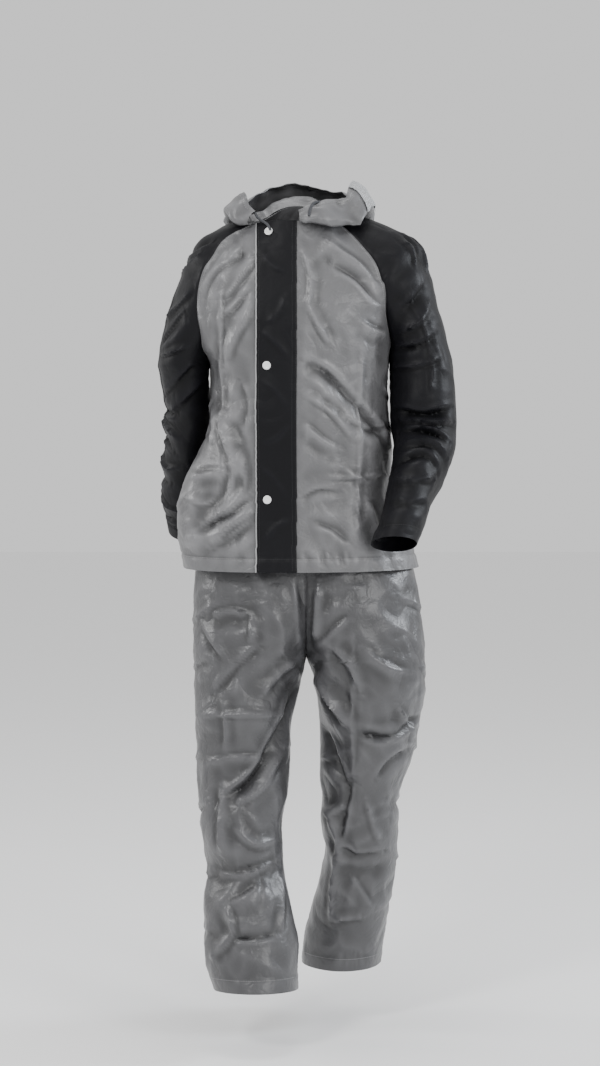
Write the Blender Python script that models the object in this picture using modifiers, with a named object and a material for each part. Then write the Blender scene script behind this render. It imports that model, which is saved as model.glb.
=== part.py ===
"""Rain suit: a raglan jacket with a thrown-back hood, and trousers, in a walking pose.

Metres, +Z up, +X to the wearer's left, the front faces -Y. The origin is the
wearer's shoulder line at the neck. Each panel is a closed wall, built on a grid of
rows and columns. Neighbouring panels share the points and the normals of their
seam, so their walls meet in a mitre, 0.3 mm apart.
"""
import math

import bmesh
import bpy
import numpy as np
from mathutils import Vector

# Driving dimensions of the cloth
WALL = 0.0012
HALF_SEAM = 0.00015
LIFT = 0.0005
HEM_DEPTH = 0.024
HEM_RELIEF = 0.0010

# Driving dimensions of the jacket
CENTRE_X = -0.035
FLAP_RIGHT_X = -0.085
FLAP_LEFT_X = -0.015
FLAP_WALL = 0.0014
NECK_FRONT_Z = -0.018
NECK_BACK_Z = 0.015
NECK_CENTRE = (-0.0165, -0.010)
JACKET_HEM_Z = -0.643
FRONT_ROUND = 0.62
BACK_ROUND = 0.50
HOOD_START = 0.004
HOOD_LIFT = 0.0009

# Driving dimensions of the trousers
MID_X = 0.002
WAIST_Z = -0.455
CROTCH_Z = -0.807
LEG_HEM_Z = -1.390
WAISTBAND_HEIGHT = 0.034

# Grid of the panels
RAGLAN_ROWS = 10
BODY_ROWS = 13
FLAP_COLUMNS = 2
FRONT_COLUMNS = 7
BACK_COLUMNS = 16
SLEEVE_ROWS = 15
SLEEVE_COLUMNS = 14
HIP_ROWS = 11
LEG_ROWS = 16
LEG_COLUMNS = 8

# A section of the sleeve for each key: how far out and up its outer line lies, the
# depth position of its centre, the tilt of its outer side above level and the swing of
# its lower end to the front in degrees, its half width across and half depth, and the
# angles from the outer line round to the front seam and the back seam.
SLEEVE_KEYS = ("key", "out", "up", "y", "tilt", "swing", "across", "depth", "front", "back")
UNDERARM_KEY = 9
CUFF_KEY = 17
RIGHT_SLEEVE = (
    (0, 0.1030, 0.002, -0.005, 80, 0, 0.0600, 0.072, 55, 45),
    (1, 0.1500, -0.026, -0.004, 64, 0, 0.0700, 0.085, 46, 45),
    (2, 0.1890, -0.048, -0.003, 52, 0, 0.0780, 0.095, 60, 52),
    (3, 0.2130, -0.078, -0.002, 36, 0, 0.0800, 0.100, 60, 58),
    (4, 0.2260, -0.115, 0.000, 22, 0, 0.0780, 0.100, 60, 62),
    (5, 0.2400, -0.155, 0.003, 12, 0, 0.0720, 0.095, 70, 72),
    (6, 0.2520, -0.195, 0.006, 7, 0, 0.0650, 0.090, 87, 90),
    (7, 0.2620, -0.235, 0.010, 4, 0, 0.0510, 0.085, 120, 122),
    (8, 0.2650, -0.256, 0.012, 3, 0, 0.0480, 0.082, 148, 150),
    (9, 0.2660, -0.275, 0.015, 2, -4, 0.0460, 0.080, 180, 180),
    (10, 0.2630, -0.310, 0.028, 0, -10, 0.0440, 0.074, 180, 180),
    (11, 0.2610, -0.350, 0.044, -1, -14, 0.0445, 0.070, 180, 180),
    (12, 0.2600, -0.390, 0.062, 0, -18, 0.0440, 0.066, 180, 180),
    (13, 0.2630, -0.430, 0.082, 0, -22, 0.0425, 0.062, 180, 180),
    (14, 0.2660, -0.470, 0.102, 0, -26, 0.0415, 0.059, 180, 180),
    (15, 0.2680, -0.510, 0.120, 0, -28, 0.0415, 0.056, 180, 180),
    (16, 0.2630, -0.548, 0.137, 0, -26, 0.0420, 0.053, 180, 180),
    (17, 0.2560, -0.585, 0.150, 0, -22, 0.0420, 0.051, 180, 180),
)
LEFT_SLEEVE = (
    (0, 0.0700, 0.003, -0.006, 82, 0, 0.0620, 0.072, 56, 45),
    (1, 0.1150, -0.010, -0.006, 72, 0, 0.0680, 0.080, 75, 46),
    (2, 0.1580, -0.027, -0.007, 62, 0, 0.0740, 0.086, 88, 52),
    (3, 0.1960, -0.048, -0.008, 50, 0, 0.0800, 0.090, 100, 58),
    (4, 0.2180, -0.078, -0.009, 34, 0, 0.0800, 0.091, 99, 62),
    (5, 0.2290, -0.115, -0.009, 18, 0, 0.0720, 0.090, 104, 76),
    (6, 0.2370, -0.155, -0.009, 8, 0, 0.0660, 0.087, 114, 98),
    (7, 0.2490, -0.197, -0.009, 4, 0, 0.0570, 0.083, 139, 128),
    (8, 0.2580, -0.232, -0.009, 2, 0, 0.0535, 0.081, 159, 156),
    (9, 0.2680, -0.265, -0.010, 0, 0, 0.0575, 0.079, 180, 180),
    (10, 0.2720, -0.305, -0.014, 0, 4, 0.0585, 0.078, 180, 180),
    (11, 0.2730, -0.345, -0.022, 0, 8, 0.0585, 0.076, 180, 180),
    (12, 0.2760, -0.385, -0.034, 0, 15, 0.0585, 0.073, 180, 180),
    (13, 0.2740, -0.420, -0.052, 0, 24, 0.0550, 0.069, 180, 180),
    (14, 0.2580, -0.460, -0.082, 0, 32, 0.0500, 0.064, 180, 180),
    (15, 0.2380, -0.500, -0.112, 0, 33, 0.0450, 0.060, 180, 180),
    (16, 0.2170, -0.545, -0.143, 0, 28, 0.0410, 0.056, 180, 180),
    (17, 0.1970, -0.590, -0.170, 0, 18, 0.0400, 0.054, 180, 180),
)

# Where one tube branches into two, at the underarms and the crotch: the cloth faces
# straight down there.
BRANCH_REACH = 0.0008
BRANCHES = (
    (-0.174, 0.015, -0.2782),
    (0.153, -0.010, -0.265),
    (0.002, -0.022, -0.807),
)

# Depth of the jacket at its centre front and centre back, by height.
CENTRE_KEYS = ("z", "front", "back")
JACKET_CENTRE = (
    (-0.645, -0.150, 0.140),
    (-0.590, -0.145, 0.137),
    (-0.510, -0.140, 0.133),
    (-0.430, -0.141, 0.131),
    (-0.350, -0.145, 0.132),
    (-0.275, -0.143, 0.135),
    (-0.200, -0.139, 0.134),
    (-0.150, -0.131, 0.129),
    (-0.100, -0.120, 0.120),
    (-0.060, -0.110, 0.109),
    (-0.018, -0.098, 0.088),
    (0.015, -0.090, 0.072),
)

# The side seams below the underarm: how far out and where in depth, by height.
SIDE_KEYS = ("z", "right", "left", "right_y", "left_y")
JACKET_SIDES = (
    (-0.645, 0.220, 0.208, -0.010, 0.002),
    (-0.590, 0.229, 0.192, -0.015, 0.003),
    (-0.550, 0.231, 0.175, -0.030, 0.004),
    (-0.510, 0.226, 0.160, -0.032, 0.005),
    (-0.470, 0.212, 0.152, -0.030, 0.005),
    (-0.430, 0.192, 0.149, -0.018, 0.003),
    (-0.390, 0.177, 0.148, -0.006, 0.000),
    (-0.350, 0.172, 0.148, 0.005, -0.003),
    (-0.310, 0.172, 0.149, 0.010, -0.008),
    (-0.275, 0.174, 0.153, 0.015, -0.010),
)

# The hips, shared by both legs: how far each leg's centre is from the middle, the
# outer radius of each side, the inner radius, the depth position of the centre, and
# the radii to the front and to the back.
HIP_KEYS = ("z", "apart", "outer_right", "outer_left", "inner", "y", "front", "back")
HIPS = (
    (-0.807, 0.102, 0.104, 0.113, 0.102, -0.022, 0.116, 0.116),
    (-0.795, 0.096, 0.111, 0.119, 0.101, -0.020, 0.118, 0.119),
    (-0.770, 0.085, 0.122, 0.128, 0.103, -0.018, 0.120, 0.122),
    (-0.730, 0.072, 0.134, 0.137, 0.109, -0.014, 0.121, 0.122),
    (-0.680, 0.060, 0.144, 0.144, 0.118, -0.010, 0.116, 0.116),
    (-0.620, 0.045, 0.151, 0.143, 0.128, -0.007, 0.107, 0.108),
    (-0.560, 0.030, 0.155, 0.1426, 0.140, -0.005, 0.100, 0.100),
    (-0.500, 0.015, 0.155, 0.1356, 0.150, -0.004, 0.097, 0.096),
    (-0.455, 0.003, 0.150, 0.126, 0.152, -0.003, 0.094, 0.092),
)

# The legs below the crotch: distance of the centre from the middle, outer and inner
# radius, depth position of the centre, radii to the front and back, and how far the
# ring rises for each metre to the front.
LEG_KEYS = ("z", "apart", "outer", "inner", "y", "front", "back", "slope")
RIGHT_LEG = (
    (-1.390, 0.0900, 0.0750, 0.0750, -0.150, 0.089, 0.092, 0.09),
    (-1.350, 0.0965, 0.0815, 0.0815, -0.142, 0.087, 0.092, 0.08),
    (-1.310, 0.0985, 0.0855, 0.0855, -0.133, 0.086, 0.092, 0.06),
    (-1.270, 0.1030, 0.0810, 0.0810, -0.124, 0.084, 0.091, 0.04),
    (-1.229, 0.1070, 0.0760, 0.0760, -0.115, 0.082, 0.090, 0.02),
    (-1.188, 0.1080, 0.0680, 0.0680, -0.105, 0.082, 0.089, 0.00),
    (-1.150, 0.1120, 0.0700, 0.0700, -0.097, 0.084, 0.087, 0.00),
    (-1.100, 0.1170, 0.0735, 0.0735, -0.086, 0.088, 0.086, 0.00),
    (-1.044, 0.1140, 0.0810, 0.0810, -0.073, 0.092, 0.089, 0.00),
    (-1.000, 0.1125, 0.0835, 0.0835, -0.062, 0.096, 0.092, 0.00),
    (-0.920, 0.1130, 0.0870, 0.0870, -0.045, 0.104, 0.100, 0.00),
    (-0.880, 0.1090, 0.0930, 0.0930, -0.036, 0.108, 0.106, 0.00),
    (-0.840, 0.1050, 0.0990, 0.0980, -0.028, 0.112, 0.112, 0.00),
    (-0.807, 0.1020, 0.1040, 0.1020, -0.022, 0.116, 0.116, 0.00),
)
LEFT_LEG = (
    (-1.390, 0.0665, 0.0735, 0.0735, 0.080, 0.084, 0.090, -0.04),
    (-1.351, 0.0695, 0.0745, 0.0745, 0.071, 0.083, 0.089, -0.02),
    (-1.302, 0.0785, 0.0725, 0.0725, 0.058, 0.082, 0.088, 0.00),
    (-1.254, 0.0885, 0.0695, 0.0695, 0.046, 0.081, 0.087, 0.00),
    (-1.206, 0.0975, 0.0675, 0.0675, 0.035, 0.080, 0.085, 0.00),
    (-1.160, 0.1020, 0.0660, 0.0660, 0.025, 0.082, 0.085, 0.00),
    (-1.110, 0.0985, 0.0705, 0.0705, 0.014, 0.085, 0.086, 0.00),
    (-1.065, 0.1000, 0.0700, 0.0700, 0.007, 0.089, 0.088, 0.00),
    (-1.040, 0.1020, 0.0760, 0.0760, 0.003, 0.091, 0.090, 0.00),
    (-1.000, 0.1095, 0.0835, 0.0835, -0.002, 0.094, 0.092, 0.00),
    (-0.920, 0.1160, 0.0920, 0.0920, -0.010, 0.102, 0.100, 0.00),
    (-0.880, 0.1180, 0.0980, 0.0980, -0.013, 0.107, 0.106, 0.00),
    (-0.840, 0.1145, 0.1040, 0.1015, -0.017, 0.112, 0.112, 0.00),
    (-0.807, 0.1020, 0.1130, 0.1020, -0.022, 0.116, 0.116, 0.00),
)

# The hood's section at places round the neck, from its right end over the back to its
# left end: the lift of the roll over the seam, how far out and down the pouch's bottom
# lies, how much further the outer layer bellies, and where the rim lies.
HOOD_KEYS = ("along", "lift", "reach", "drop", "belly", "rim_out", "rim_up")
HOOD = (
    (0.00, 0.006, 0.012, 0.000, 0.006, 0.002, 0.020),
    (0.03, 0.006, 0.020, 0.002, 0.012, 0.004, 0.038),
    (0.08, 0.008, 0.026, 0.001, 0.014, 0.008, 0.040),
    (0.14, 0.010, 0.028, -0.005, 0.013, 0.010, 0.026),
    (0.22, 0.012, 0.036, 0.004, 0.014, 0.014, 0.028),
    (0.30, 0.014, 0.052, 0.026, 0.018, 0.026, 0.038),
    (0.37, 0.016, 0.066, 0.064, 0.024, 0.042, 0.040),
    (0.44, 0.017, 0.076, 0.122, 0.030, 0.058, 0.041),
    (0.51, 0.016, 0.066, 0.064, 0.024, 0.046, 0.044),
    (0.58, 0.015, 0.054, 0.026, 0.020, 0.032, 0.048),
    (0.66, 0.013, 0.040, 0.002, 0.017, 0.020, 0.050),
    (0.73, 0.012, 0.034, -0.005, 0.016, 0.014, 0.048),
    (0.80, 0.010, 0.030, -0.001, 0.015, 0.010, 0.050),
    (0.88, 0.008, 0.026, 0.003, 0.012, 0.008, 0.042),
    (0.95, 0.006, 0.018, 0.002, 0.008, 0.004, 0.028),
    (1.00, 0.006, 0.012, 0.000, 0.006, 0.002, 0.016),
)
HOOD_COLUMNS = 26
HOOD_ROWS = 12
VISOR_COLUMNS = (17, 21)
VISOR_ROWS = (8, 12)
VISOR_WALL = 0.0010

# The largest folds: a straight crest or trough seen from the front, from one end to
# the other, its half width, and its height over the panel. side is -1 on the front
# and +1 on the back.
FOLD_KEYS = ("x0", "z0", "x1", "z1", "width", "height", "side")
JACKET_FOLDS = (
    (-0.190, -0.150, -0.128, -0.075, 0.016, 0.006, -1),
    (-0.145, -0.275, -0.095, -0.150, 0.016, 0.005, -1),
    (-0.150, -0.362, -0.128, -0.459, 0.018, 0.009, -1),
    (-0.128, -0.459, -0.148, -0.545, 0.018, 0.009, -1),
    (-0.110, -0.468, -0.190, -0.565, 0.017, -0.008, -1),
    (-0.100, -0.520, -0.200, -0.592, 0.016, 0.008, -1),
    (0.040, -0.055, 0.140, -0.146, 0.017, 0.006, -1),
    (0.100, -0.223, 0.094, -0.620, 0.016, 0.005, -1),
    (0.010, -0.275, 0.079, -0.330, 0.018, -0.005, -1),
    (0.079, -0.330, 0.145, -0.441, 0.018, -0.006, -1),
    (-0.150, -0.110, -0.090, -0.240, 0.020, 0.006, 1),
    (0.120, -0.110, 0.060, -0.250, 0.020, 0.006, 1),
    (-0.160, -0.330, -0.060, -0.420, 0.020, -0.007, 1),
    (0.130, -0.320, 0.030, -0.430, 0.020, -0.007, 1),
    (-0.020, -0.300, -0.010, -0.620, 0.020, 0.006, 1),
    (-0.150, -0.560, -0.060, -0.500, 0.018, 0.007, 1),
)
TROUSER_FOLDS = (
    (-0.180, -0.735, -0.090, -0.718, 0.018, -0.006, -1),
    (-0.190, -0.905, -0.020, -0.900, 0.018, 0.006, -1),
    (-0.152, -1.050, -0.058, -0.960, 0.022, -0.010, -1),
    (-0.058, -0.960, -0.015, -0.850, 0.020, -0.008, -1),
    (-0.148, -1.030, -0.142, -1.140, 0.018, 0.009, -1),
    (-0.170, -1.190, -0.045, -1.165, 0.020, -0.010, -1),
    (-0.139, -1.245, -0.075, -1.205, 0.018, 0.007, -1),
    (0.024, -0.842, 0.084, -0.938, 0.020, 0.010, -1),
    (0.030, -0.935, 0.075, -1.060, 0.020, -0.010, -1),
    (0.084, -0.945, 0.205, -0.905, 0.018, -0.008, -1),
    (0.040, -1.085, 0.067, -1.180, 0.018, 0.009, -1),
    (0.067, -1.180, 0.057, -1.290, 0.018, 0.008, -1),
    (0.075, -1.190, 0.140, -1.200, 0.018, -0.008, -1),
    (-0.180, -0.850, -0.040, -0.870, 0.020, -0.008, 1),
    (0.030, -0.860, 0.190, -0.840, 0.020, -0.008, 1),
    (-0.160, -1.080, -0.060, -1.120, 0.022, -0.010, 1),
    (0.040, -1.120, 0.150, -1.070, 0.022, -0.010, 1),
    (-0.110, -1.160, -0.100, -1.320, 0.018, 0.007, 1),
    (0.090, -1.160, 0.080, -1.330, 0.018, 0.007, 1),
)

# The sleeves' largest folds: the key where one is deepest, how many keys its ends
# climb, the angle it faces (0 outer, 90 front, 180 inner, -90 back), half its reach
# round the sleeve in degrees, its half width in keys, and its height.
RING_FOLD_KEYS = ("key", "climb", "angle", "reach", "width", "height")
RIGHT_SLEEVE_FOLDS = (
    (3.2, 0.6, 20, 70, 0.50, -0.004),
    (10.6, 0.8, 0, 90, 0.40, -0.006),
    (11.6, -0.7, 40, 80, 0.38, -0.006),
    (12.8, 0.8, 10, 90, 0.38, -0.006),
    (14.2, 0.5, -20, 80, 0.40, -0.005),
)
LEFT_SLEEVE_FOLDS = (
    (4.0, 0.8, 50, 60, 0.50, -0.005),
    (6.0, -1.2, 70, 60, 0.50, -0.005),
    (11.8, 0.8, 90, 90, 0.38, -0.007),
    (12.8, -0.6, 70, 90, 0.38, -0.008),
    (13.8, 0.7, 80, 90, 0.38, -0.007),
    (15.2, 0.6, 30, 80, 0.40, -0.005),
)

# Press studs down the flap: name, where they lie on its front, and their size.
SNAP_RADIUS = 0.0075
SNAP_HEIGHT = 0.0026
SNAPS = (
    ("snap_top", -0.0640, -0.038),
    ("snap_middle", -0.0700, -0.273),
    ("snap_bottom", -0.0680, -0.512),
)

# The two free ends of the hood's drawcord: places on its route, exit first.
CORD_DIAMETER = 0.0048
CORD_RIGHT = (
    (-0.0898, -0.0675, -0.0028),
    (-0.0862, -0.0735, -0.0095),
    (-0.0800, -0.0830, -0.0155),
    (-0.0725, -0.0915, -0.0205),
    (-0.0660, -0.1035, -0.0262),
    (-0.0618, -0.1135, -0.0345),
)
CORD_LEFT = (
    (0.0290, -0.0855, 0.0159),
    (0.0220, -0.0905, 0.0154),
    (0.0150, -0.0985, 0.0125),
    (0.0090, -0.1090, 0.0030),
    (0.0071, -0.1165, -0.0105),
)

# Finishes: colour, roughness and metallic of each cloth or trim
GREY_CLOTH = (0.235, 0.235, 0.240, 0.42, 0.0)
BLACK_CLOTH = (0.014, 0.014, 0.016, 0.38, 0.0)
WHITE_STUD = (0.80, 0.80, 0.80, 0.30, 0.0)
DARK_CORD = (0.040, 0.042, 0.048, 0.80, 0.0)
CLEAR_FILM = (0.62, 0.64, 0.66, 0.25, 0.0)
ELASTIC = (0.160, 0.160, 0.165, 0.80, 0.0)


def column(table, keys, name):
    """One named column of a table, as an array."""
    return np.array([row[keys.index(name)] for row in table], dtype=float)


def through(keys, values, at):
    """Smooth curve through values at increasing keys, read at any place."""
    keys = np.asarray(keys, dtype=float)
    values = np.asarray(values, dtype=float)
    at = np.clip(np.asarray(at, dtype=float), keys[0], keys[-1])
    slopes = np.gradient(values, keys)
    low = np.clip(np.searchsorted(keys, at, side="right") - 1, 0, len(keys) - 2)
    step = keys[low + 1] - keys[low]
    part = (at - keys[low]) / step
    start = (1 + 2 * part) * (1 - part) ** 2 * values[low]
    start_slope = part * (1 - part) ** 2 * step * slopes[low]
    end = part ** 2 * (3 - 2 * part) * values[low + 1]
    end_slope = part ** 2 * (part - 1) * step * slopes[low + 1]
    return start + start_slope + end + end_slope


def read(table, keys, name, at):
    """A named column of a table as a smooth curve over the table's first column."""
    return through(column(table, keys, keys[0]), column(table, keys, name), at)


def ease(value):
    """Smooth step from 0 to 1."""
    value = np.clip(value, 0.0, 1.0)
    return value * value * (3 - 2 * value)


def sleeve_ring(table, side, keys, turn):
    """Points of a sleeve. Each ring is an ellipse about its own centre, which lies one
    half width inside its outer line, in a plane that is tilted and then swung.
    turn runs from -1 at the back seam over 0 at the outer line to 1 at the front seam."""
    out = read(table, SLEEVE_KEYS, "out", keys)
    up = read(table, SLEEVE_KEYS, "up", keys)
    depth_place = read(table, SLEEVE_KEYS, "y", keys)
    tilt = np.radians(read(table, SLEEVE_KEYS, "tilt", keys))
    swing = np.radians(read(table, SLEEVE_KEYS, "swing", keys))
    across = read(table, SLEEVE_KEYS, "across", keys)
    depth = read(table, SLEEVE_KEYS, "depth", keys)
    front = np.radians(np.minimum(read(table, SLEEVE_KEYS, "front", keys), 180.0))
    back = np.radians(np.minimum(read(table, SLEEVE_KEYS, "back", keys), 180.0))
    front = np.where(keys >= UNDERARM_KEY, math.pi, front)
    back = np.where(keys >= UNDERARM_KEY, math.pi, back)
    angle = np.where(turn > 0, turn * front, turn * back)
    outward = np.stack([side * np.cos(tilt), 0 * tilt, np.sin(tilt)], axis=-1)
    along = np.stack([side * np.sin(tilt), 0 * tilt, -np.cos(tilt)], axis=-1)
    forward = np.stack([0 * tilt, -np.ones_like(tilt), 0 * tilt], axis=-1)
    forward = forward * np.cos(swing)[..., None] - along * np.sin(swing)[..., None]
    outer_line = np.stack([side * out, depth_place, up], axis=-1)
    centre = outer_line - outward * across[..., None]
    sideways = outward * (across * np.cos(angle))[..., None]
    return centre + sideways + forward * (depth * np.sin(angle))[..., None]


def sleeve_points(table, side, row_keys, turns):
    """Grid of a sleeve, a row for each key and a column for each turn."""
    keys, turn = np.meshgrid(row_keys, turns, indexing="ij")
    return sleeve_ring(table, side, keys, turn)


def side_edge(table, side, row_keys, body_z, end):
    """The edge that a body panel shares: the raglan seam at the front (end 1) or back
    (end -1) down to the underarm, then the side seam down to the hem."""
    raglan = sleeve_ring(table, side, row_keys, np.full_like(row_keys, end))
    name = "right" if side < 0 else "left"
    side_x = side * read(JACKET_SIDES, SIDE_KEYS, name, body_z)
    side_y = read(JACKET_SIDES, SIDE_KEYS, name + "_y", body_z)
    seam = np.stack([side_x, side_y, body_z], axis=-1)
    return np.vstack([raglan, seam])


def body_row(centre, edge, fullness, roundness, part):
    """A row of a body panel: a cubic from the centre line, where it runs level across,
    to the edge, where it runs in depth by its fullness. roundness is how far the row
    keeps each of those ways, and part goes from 0 to 1."""
    across = edge[0] - centre[0]
    depth = centre[1] - edge[1]
    first = centre + np.array([roundness * across, 0.0, 0.0])
    second = edge + np.array([-(1 - fullness) * 0.42 * across, roundness * depth * fullness, 0.0])
    part = part[:, None]
    rest = 1 - part
    near = rest ** 3 * centre + 3 * rest ** 2 * part * first
    far = 3 * rest * part ** 2 * second + part ** 3 * edge
    return near + far


def body_rows():
    """Keys of the raglan rows, heights of the rows below the underarm, and the height of
    the centre line at every row."""
    raglan_keys = np.linspace(0, UNDERARM_KEY, RAGLAN_ROWS + 1)
    underarm_z = column(JACKET_SIDES, SIDE_KEYS, "z")[-1]
    above_hem = JACKET_HEM_Z + HEM_DEPTH
    body_z = np.append(np.linspace(underarm_z, above_hem, BODY_ROWS)[1:], JACKET_HEM_Z)
    return raglan_keys, body_z


def front_points(table, side):
    """Grid of a front panel. Its first columns lie under the flap, from the centre line
    to the flap's edge, and the rest spread to the raglan or side seam."""
    raglan_keys, body_z = body_rows()
    edge = side_edge(table, side, raglan_keys, body_z, 1.0)
    share = np.linspace(0, 1, RAGLAN_ROWS + 1)
    upper_z = NECK_FRONT_Z + (JACKET_SIDES[-1][0] - NECK_FRONT_Z) * share
    centre_z = np.append(upper_z, body_z)
    centre_y = read(JACKET_CENTRE, CENTRE_KEYS, "front", centre_z)
    flap_x = FLAP_RIGHT_X if side < 0 else FLAP_LEFT_X
    fine = np.linspace(0, 1, 81)
    rows = []
    for number in range(len(centre_z)):
        centre = np.array([CENTRE_X, centre_y[number], centre_z[number]])
        fullness = float(ease(number / RAGLAN_ROWS))
        dense = body_row(centre, edge[number], fullness, FRONT_ROUND, fine)
        wanted = np.linspace(CENTRE_X, flap_x, FLAP_COLUMNS + 1)
        under_flap = np.interp(side * wanted, side * dense[:, 0], fine)
        beyond = np.linspace(under_flap[-1], 1, FRONT_COLUMNS + 1)[1:]
        part = np.concatenate([under_flap, beyond])
        row = body_row(centre, edge[number], fullness, FRONT_ROUND, part)
        row[-1] = edge[number]
        rows.append(row)
    return np.array(rows)


def back_points():
    """Grid of the back panel, from its right seam over the centre back to its left."""
    raglan_keys, body_z = body_rows()
    right = side_edge(RIGHT_SLEEVE, -1, raglan_keys, body_z, -1.0)
    left = side_edge(LEFT_SLEEVE, 1, raglan_keys, body_z, -1.0)
    share = np.linspace(0, 1, RAGLAN_ROWS + 1)
    upper_z = NECK_BACK_Z + (JACKET_SIDES[-1][0] - NECK_BACK_Z) * share
    centre_z = np.append(upper_z, body_z)
    centre_y = read(JACKET_CENTRE, CENTRE_KEYS, "back", centre_z)
    part = np.linspace(0, 1, BACK_COLUMNS // 2 + 1)
    rows = []
    for number in range(len(centre_z)):
        centre = np.array([NECK_CENTRE[0], centre_y[number], centre_z[number]])
        fullness = float(ease(number / RAGLAN_ROWS))
        to_right = body_row(centre, right[number], fullness, BACK_ROUND, part)
        to_left = body_row(centre, left[number], fullness, BACK_ROUND, part)
        to_right[-1] = right[number]
        to_left[-1] = left[number]
        rows.append(np.vstack([to_right[::-1], to_left[1:]]))
    return np.array(rows)


def leg_ring(side, heights, turn):
    """Points of one half of the trousers. Each row is an ellipse about the leg's centre
    with its own four radii. Above the crotch it is cut off at the middle, where the rise
    seam lies. turn is 0 at the side seam and 1 at the rise seam or inseam at the front,
    and -1 at the back."""
    leg = RIGHT_LEG if side < 0 else LEFT_LEG
    outer_name = "outer_right" if side < 0 else "outer_left"
    above = heights >= CROTCH_Z
    in_hips = np.maximum(heights, CROTCH_Z)
    in_leg = np.minimum(heights, CROTCH_Z)

    def both(hip_name, leg_name):
        hip = read(HIPS, HIP_KEYS, hip_name, in_hips)
        return np.where(above, hip, read(leg, LEG_KEYS, leg_name, in_leg))

    apart = both("apart", "apart")
    outer = both(outer_name, "outer")
    inner = both("inner", "inner")
    place = both("y", "y")
    front = both("front", "front")
    back = both("back", "back")
    slope = np.where(above, 0.0, read(leg, LEG_KEYS, "slope", in_leg))
    cut = np.clip(apart / inner, -1.0, 1.0)
    end = np.where(above, math.pi - np.arccos(cut), math.pi)
    end = np.where(np.abs(heights - CROTCH_Z) < 1e-6, math.pi, end)
    angle = np.abs(turn) * end
    radius = np.where(np.cos(angle) > 0, outer, inner)
    depth = np.where(turn > 0, front, back)
    x = MID_X + side * (apart + radius * np.cos(angle))
    y = place - np.sign(turn) * depth * np.sin(angle)
    z = heights - slope * (y - place)
    return np.stack([x, y, z], axis=-1)


def leg_heights():
    """Heights of the trousers' rows, from the waist over the crotch to the hem."""
    hips = WAIST_Z + (CROTCH_Z - WAIST_Z) * np.linspace(0, 1, HIP_ROWS + 1) ** 0.85
    legs = np.linspace(CROTCH_Z, LEG_HEM_Z + HEM_DEPTH, LEG_ROWS)[1:]
    return np.concatenate([hips, legs, [LEG_HEM_Z]])


def leg_points(side, end):
    """Grid of a trouser panel, from the side seam to the rise seam and inseam."""
    heights, turn = np.meshgrid(leg_heights(), np.linspace(0, end, LEG_COLUMNS + 1), indexing="ij")
    turn = np.where(turn == 0, end * 1e-9, turn)
    points = leg_ring(side, heights, turn)
    crotch_row = HIP_ROWS
    points[: crotch_row + 1, -1, 0] = MID_X
    return points


def shared_normals(grids):
    """Normals of several grids, averaged where their edges meet. A grid's normal points
    to the side from which its rows run down and its columns run to the right."""
    places = {}
    sums = []
    for grid in grids:
        down = grid[1:, :-1] - grid[:-1, :-1]
        down_far = grid[1:, 1:] - grid[:-1, 1:]
        right = grid[:-1, 1:] - grid[:-1, :-1]
        right_low = grid[1:, 1:] - grid[1:, :-1]
        face = np.cross(down + down_far, right + right_low)
        total = np.zeros_like(grid)
        total[:-1, :-1] += face
        total[1:, :-1] += face
        total[:-1, 1:] += face
        total[1:, 1:] += face
        sums.append(total)
    for grid, total in zip(grids, sums):
        keys = np.round(grid * 1e5).astype(int)
        for index in np.ndindex(grid.shape[:2]):
            key = tuple(keys[index])
            places[key] = places.get(key, 0) + total[index]
    result = []
    for grid, total in zip(grids, sums):
        keys = np.round(grid * 1e5).astype(int)
        normal = np.empty_like(grid)
        for index in np.ndindex(grid.shape[:2]):
            normal[index] = places[tuple(keys[index])]
        for point in BRANCHES:
            normal[np.linalg.norm(grid - np.array(point), axis=-1) < BRANCH_REACH] = (0.0, 0.0, -1.0)
        length = np.linalg.norm(normal, axis=-1, keepdims=True)
        result.append(normal / np.maximum(length, 1e-12))
    return result


def fold_height(points, normals, folds):
    """How far folds lift each point: a soft ridge along each straight crest, as seen
    from the front, that fades toward its ends and toward the garment's sides."""
    lift = np.zeros(points.shape[:-1])
    for row in folds:
        fold = dict(zip(FOLD_KEYS, row))
        start = np.array([fold["x0"], fold["z0"]])
        run = np.array([fold["x1"], fold["z1"]]) - start
        flat = points[..., [0, 2]] - start
        along = (flat @ run) / (run @ run)
        nearest = np.clip(along, 0, 1)
        gap = np.linalg.norm(flat - nearest[..., None] * run, axis=-1)
        body = np.exp(-0.5 * (gap / fold["width"]) ** 2)
        ends = ease((along + 0.25) / 0.4) * ease((1.25 - along) / 0.4)
        facing = ease(2.0 * fold["side"] * normals[..., 1])
        lift += fold["height"] * body * ends * facing
    return lift


def ring_fold_height(row_keys, angles, folds):
    """How far a sleeve's folds lift each point of its grid."""
    lift = np.zeros(angles.shape)
    for row in folds:
        fold = dict(zip(RING_FOLD_KEYS, row))
        turn = (angles - fold["angle"] + 180) % 360 - 180
        crest = fold["key"] + fold["climb"] * (turn / fold["reach"]) ** 2
        across = np.exp(-0.5 * ((row_keys[:, None] - crest) / fold["width"]) ** 2)
        round_it = ease(1.2 - np.abs(turn) / fold["reach"])
        lift += fold["height"] * across * round_it
    return lift


def near_flap(points):
    """1 away from the flap and 0 under it."""
    past_right = (FLAP_RIGHT_X - points[..., 0]) / 0.02
    past_left = (points[..., 0] - FLAP_LEFT_X) / 0.02
    return ease(np.maximum(past_right, past_left))


def away_from_seams(name, columns):
    """0 at a panel's raglan seams and 1 a third of the way in."""
    place = np.linspace(0, 1, columns)
    from_first = place if name != "front_left" else np.ones(columns)
    from_last = 1 - place if name != "front_right" else np.ones(columns)
    return ease(np.minimum(from_first, from_last) / 0.33)


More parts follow.
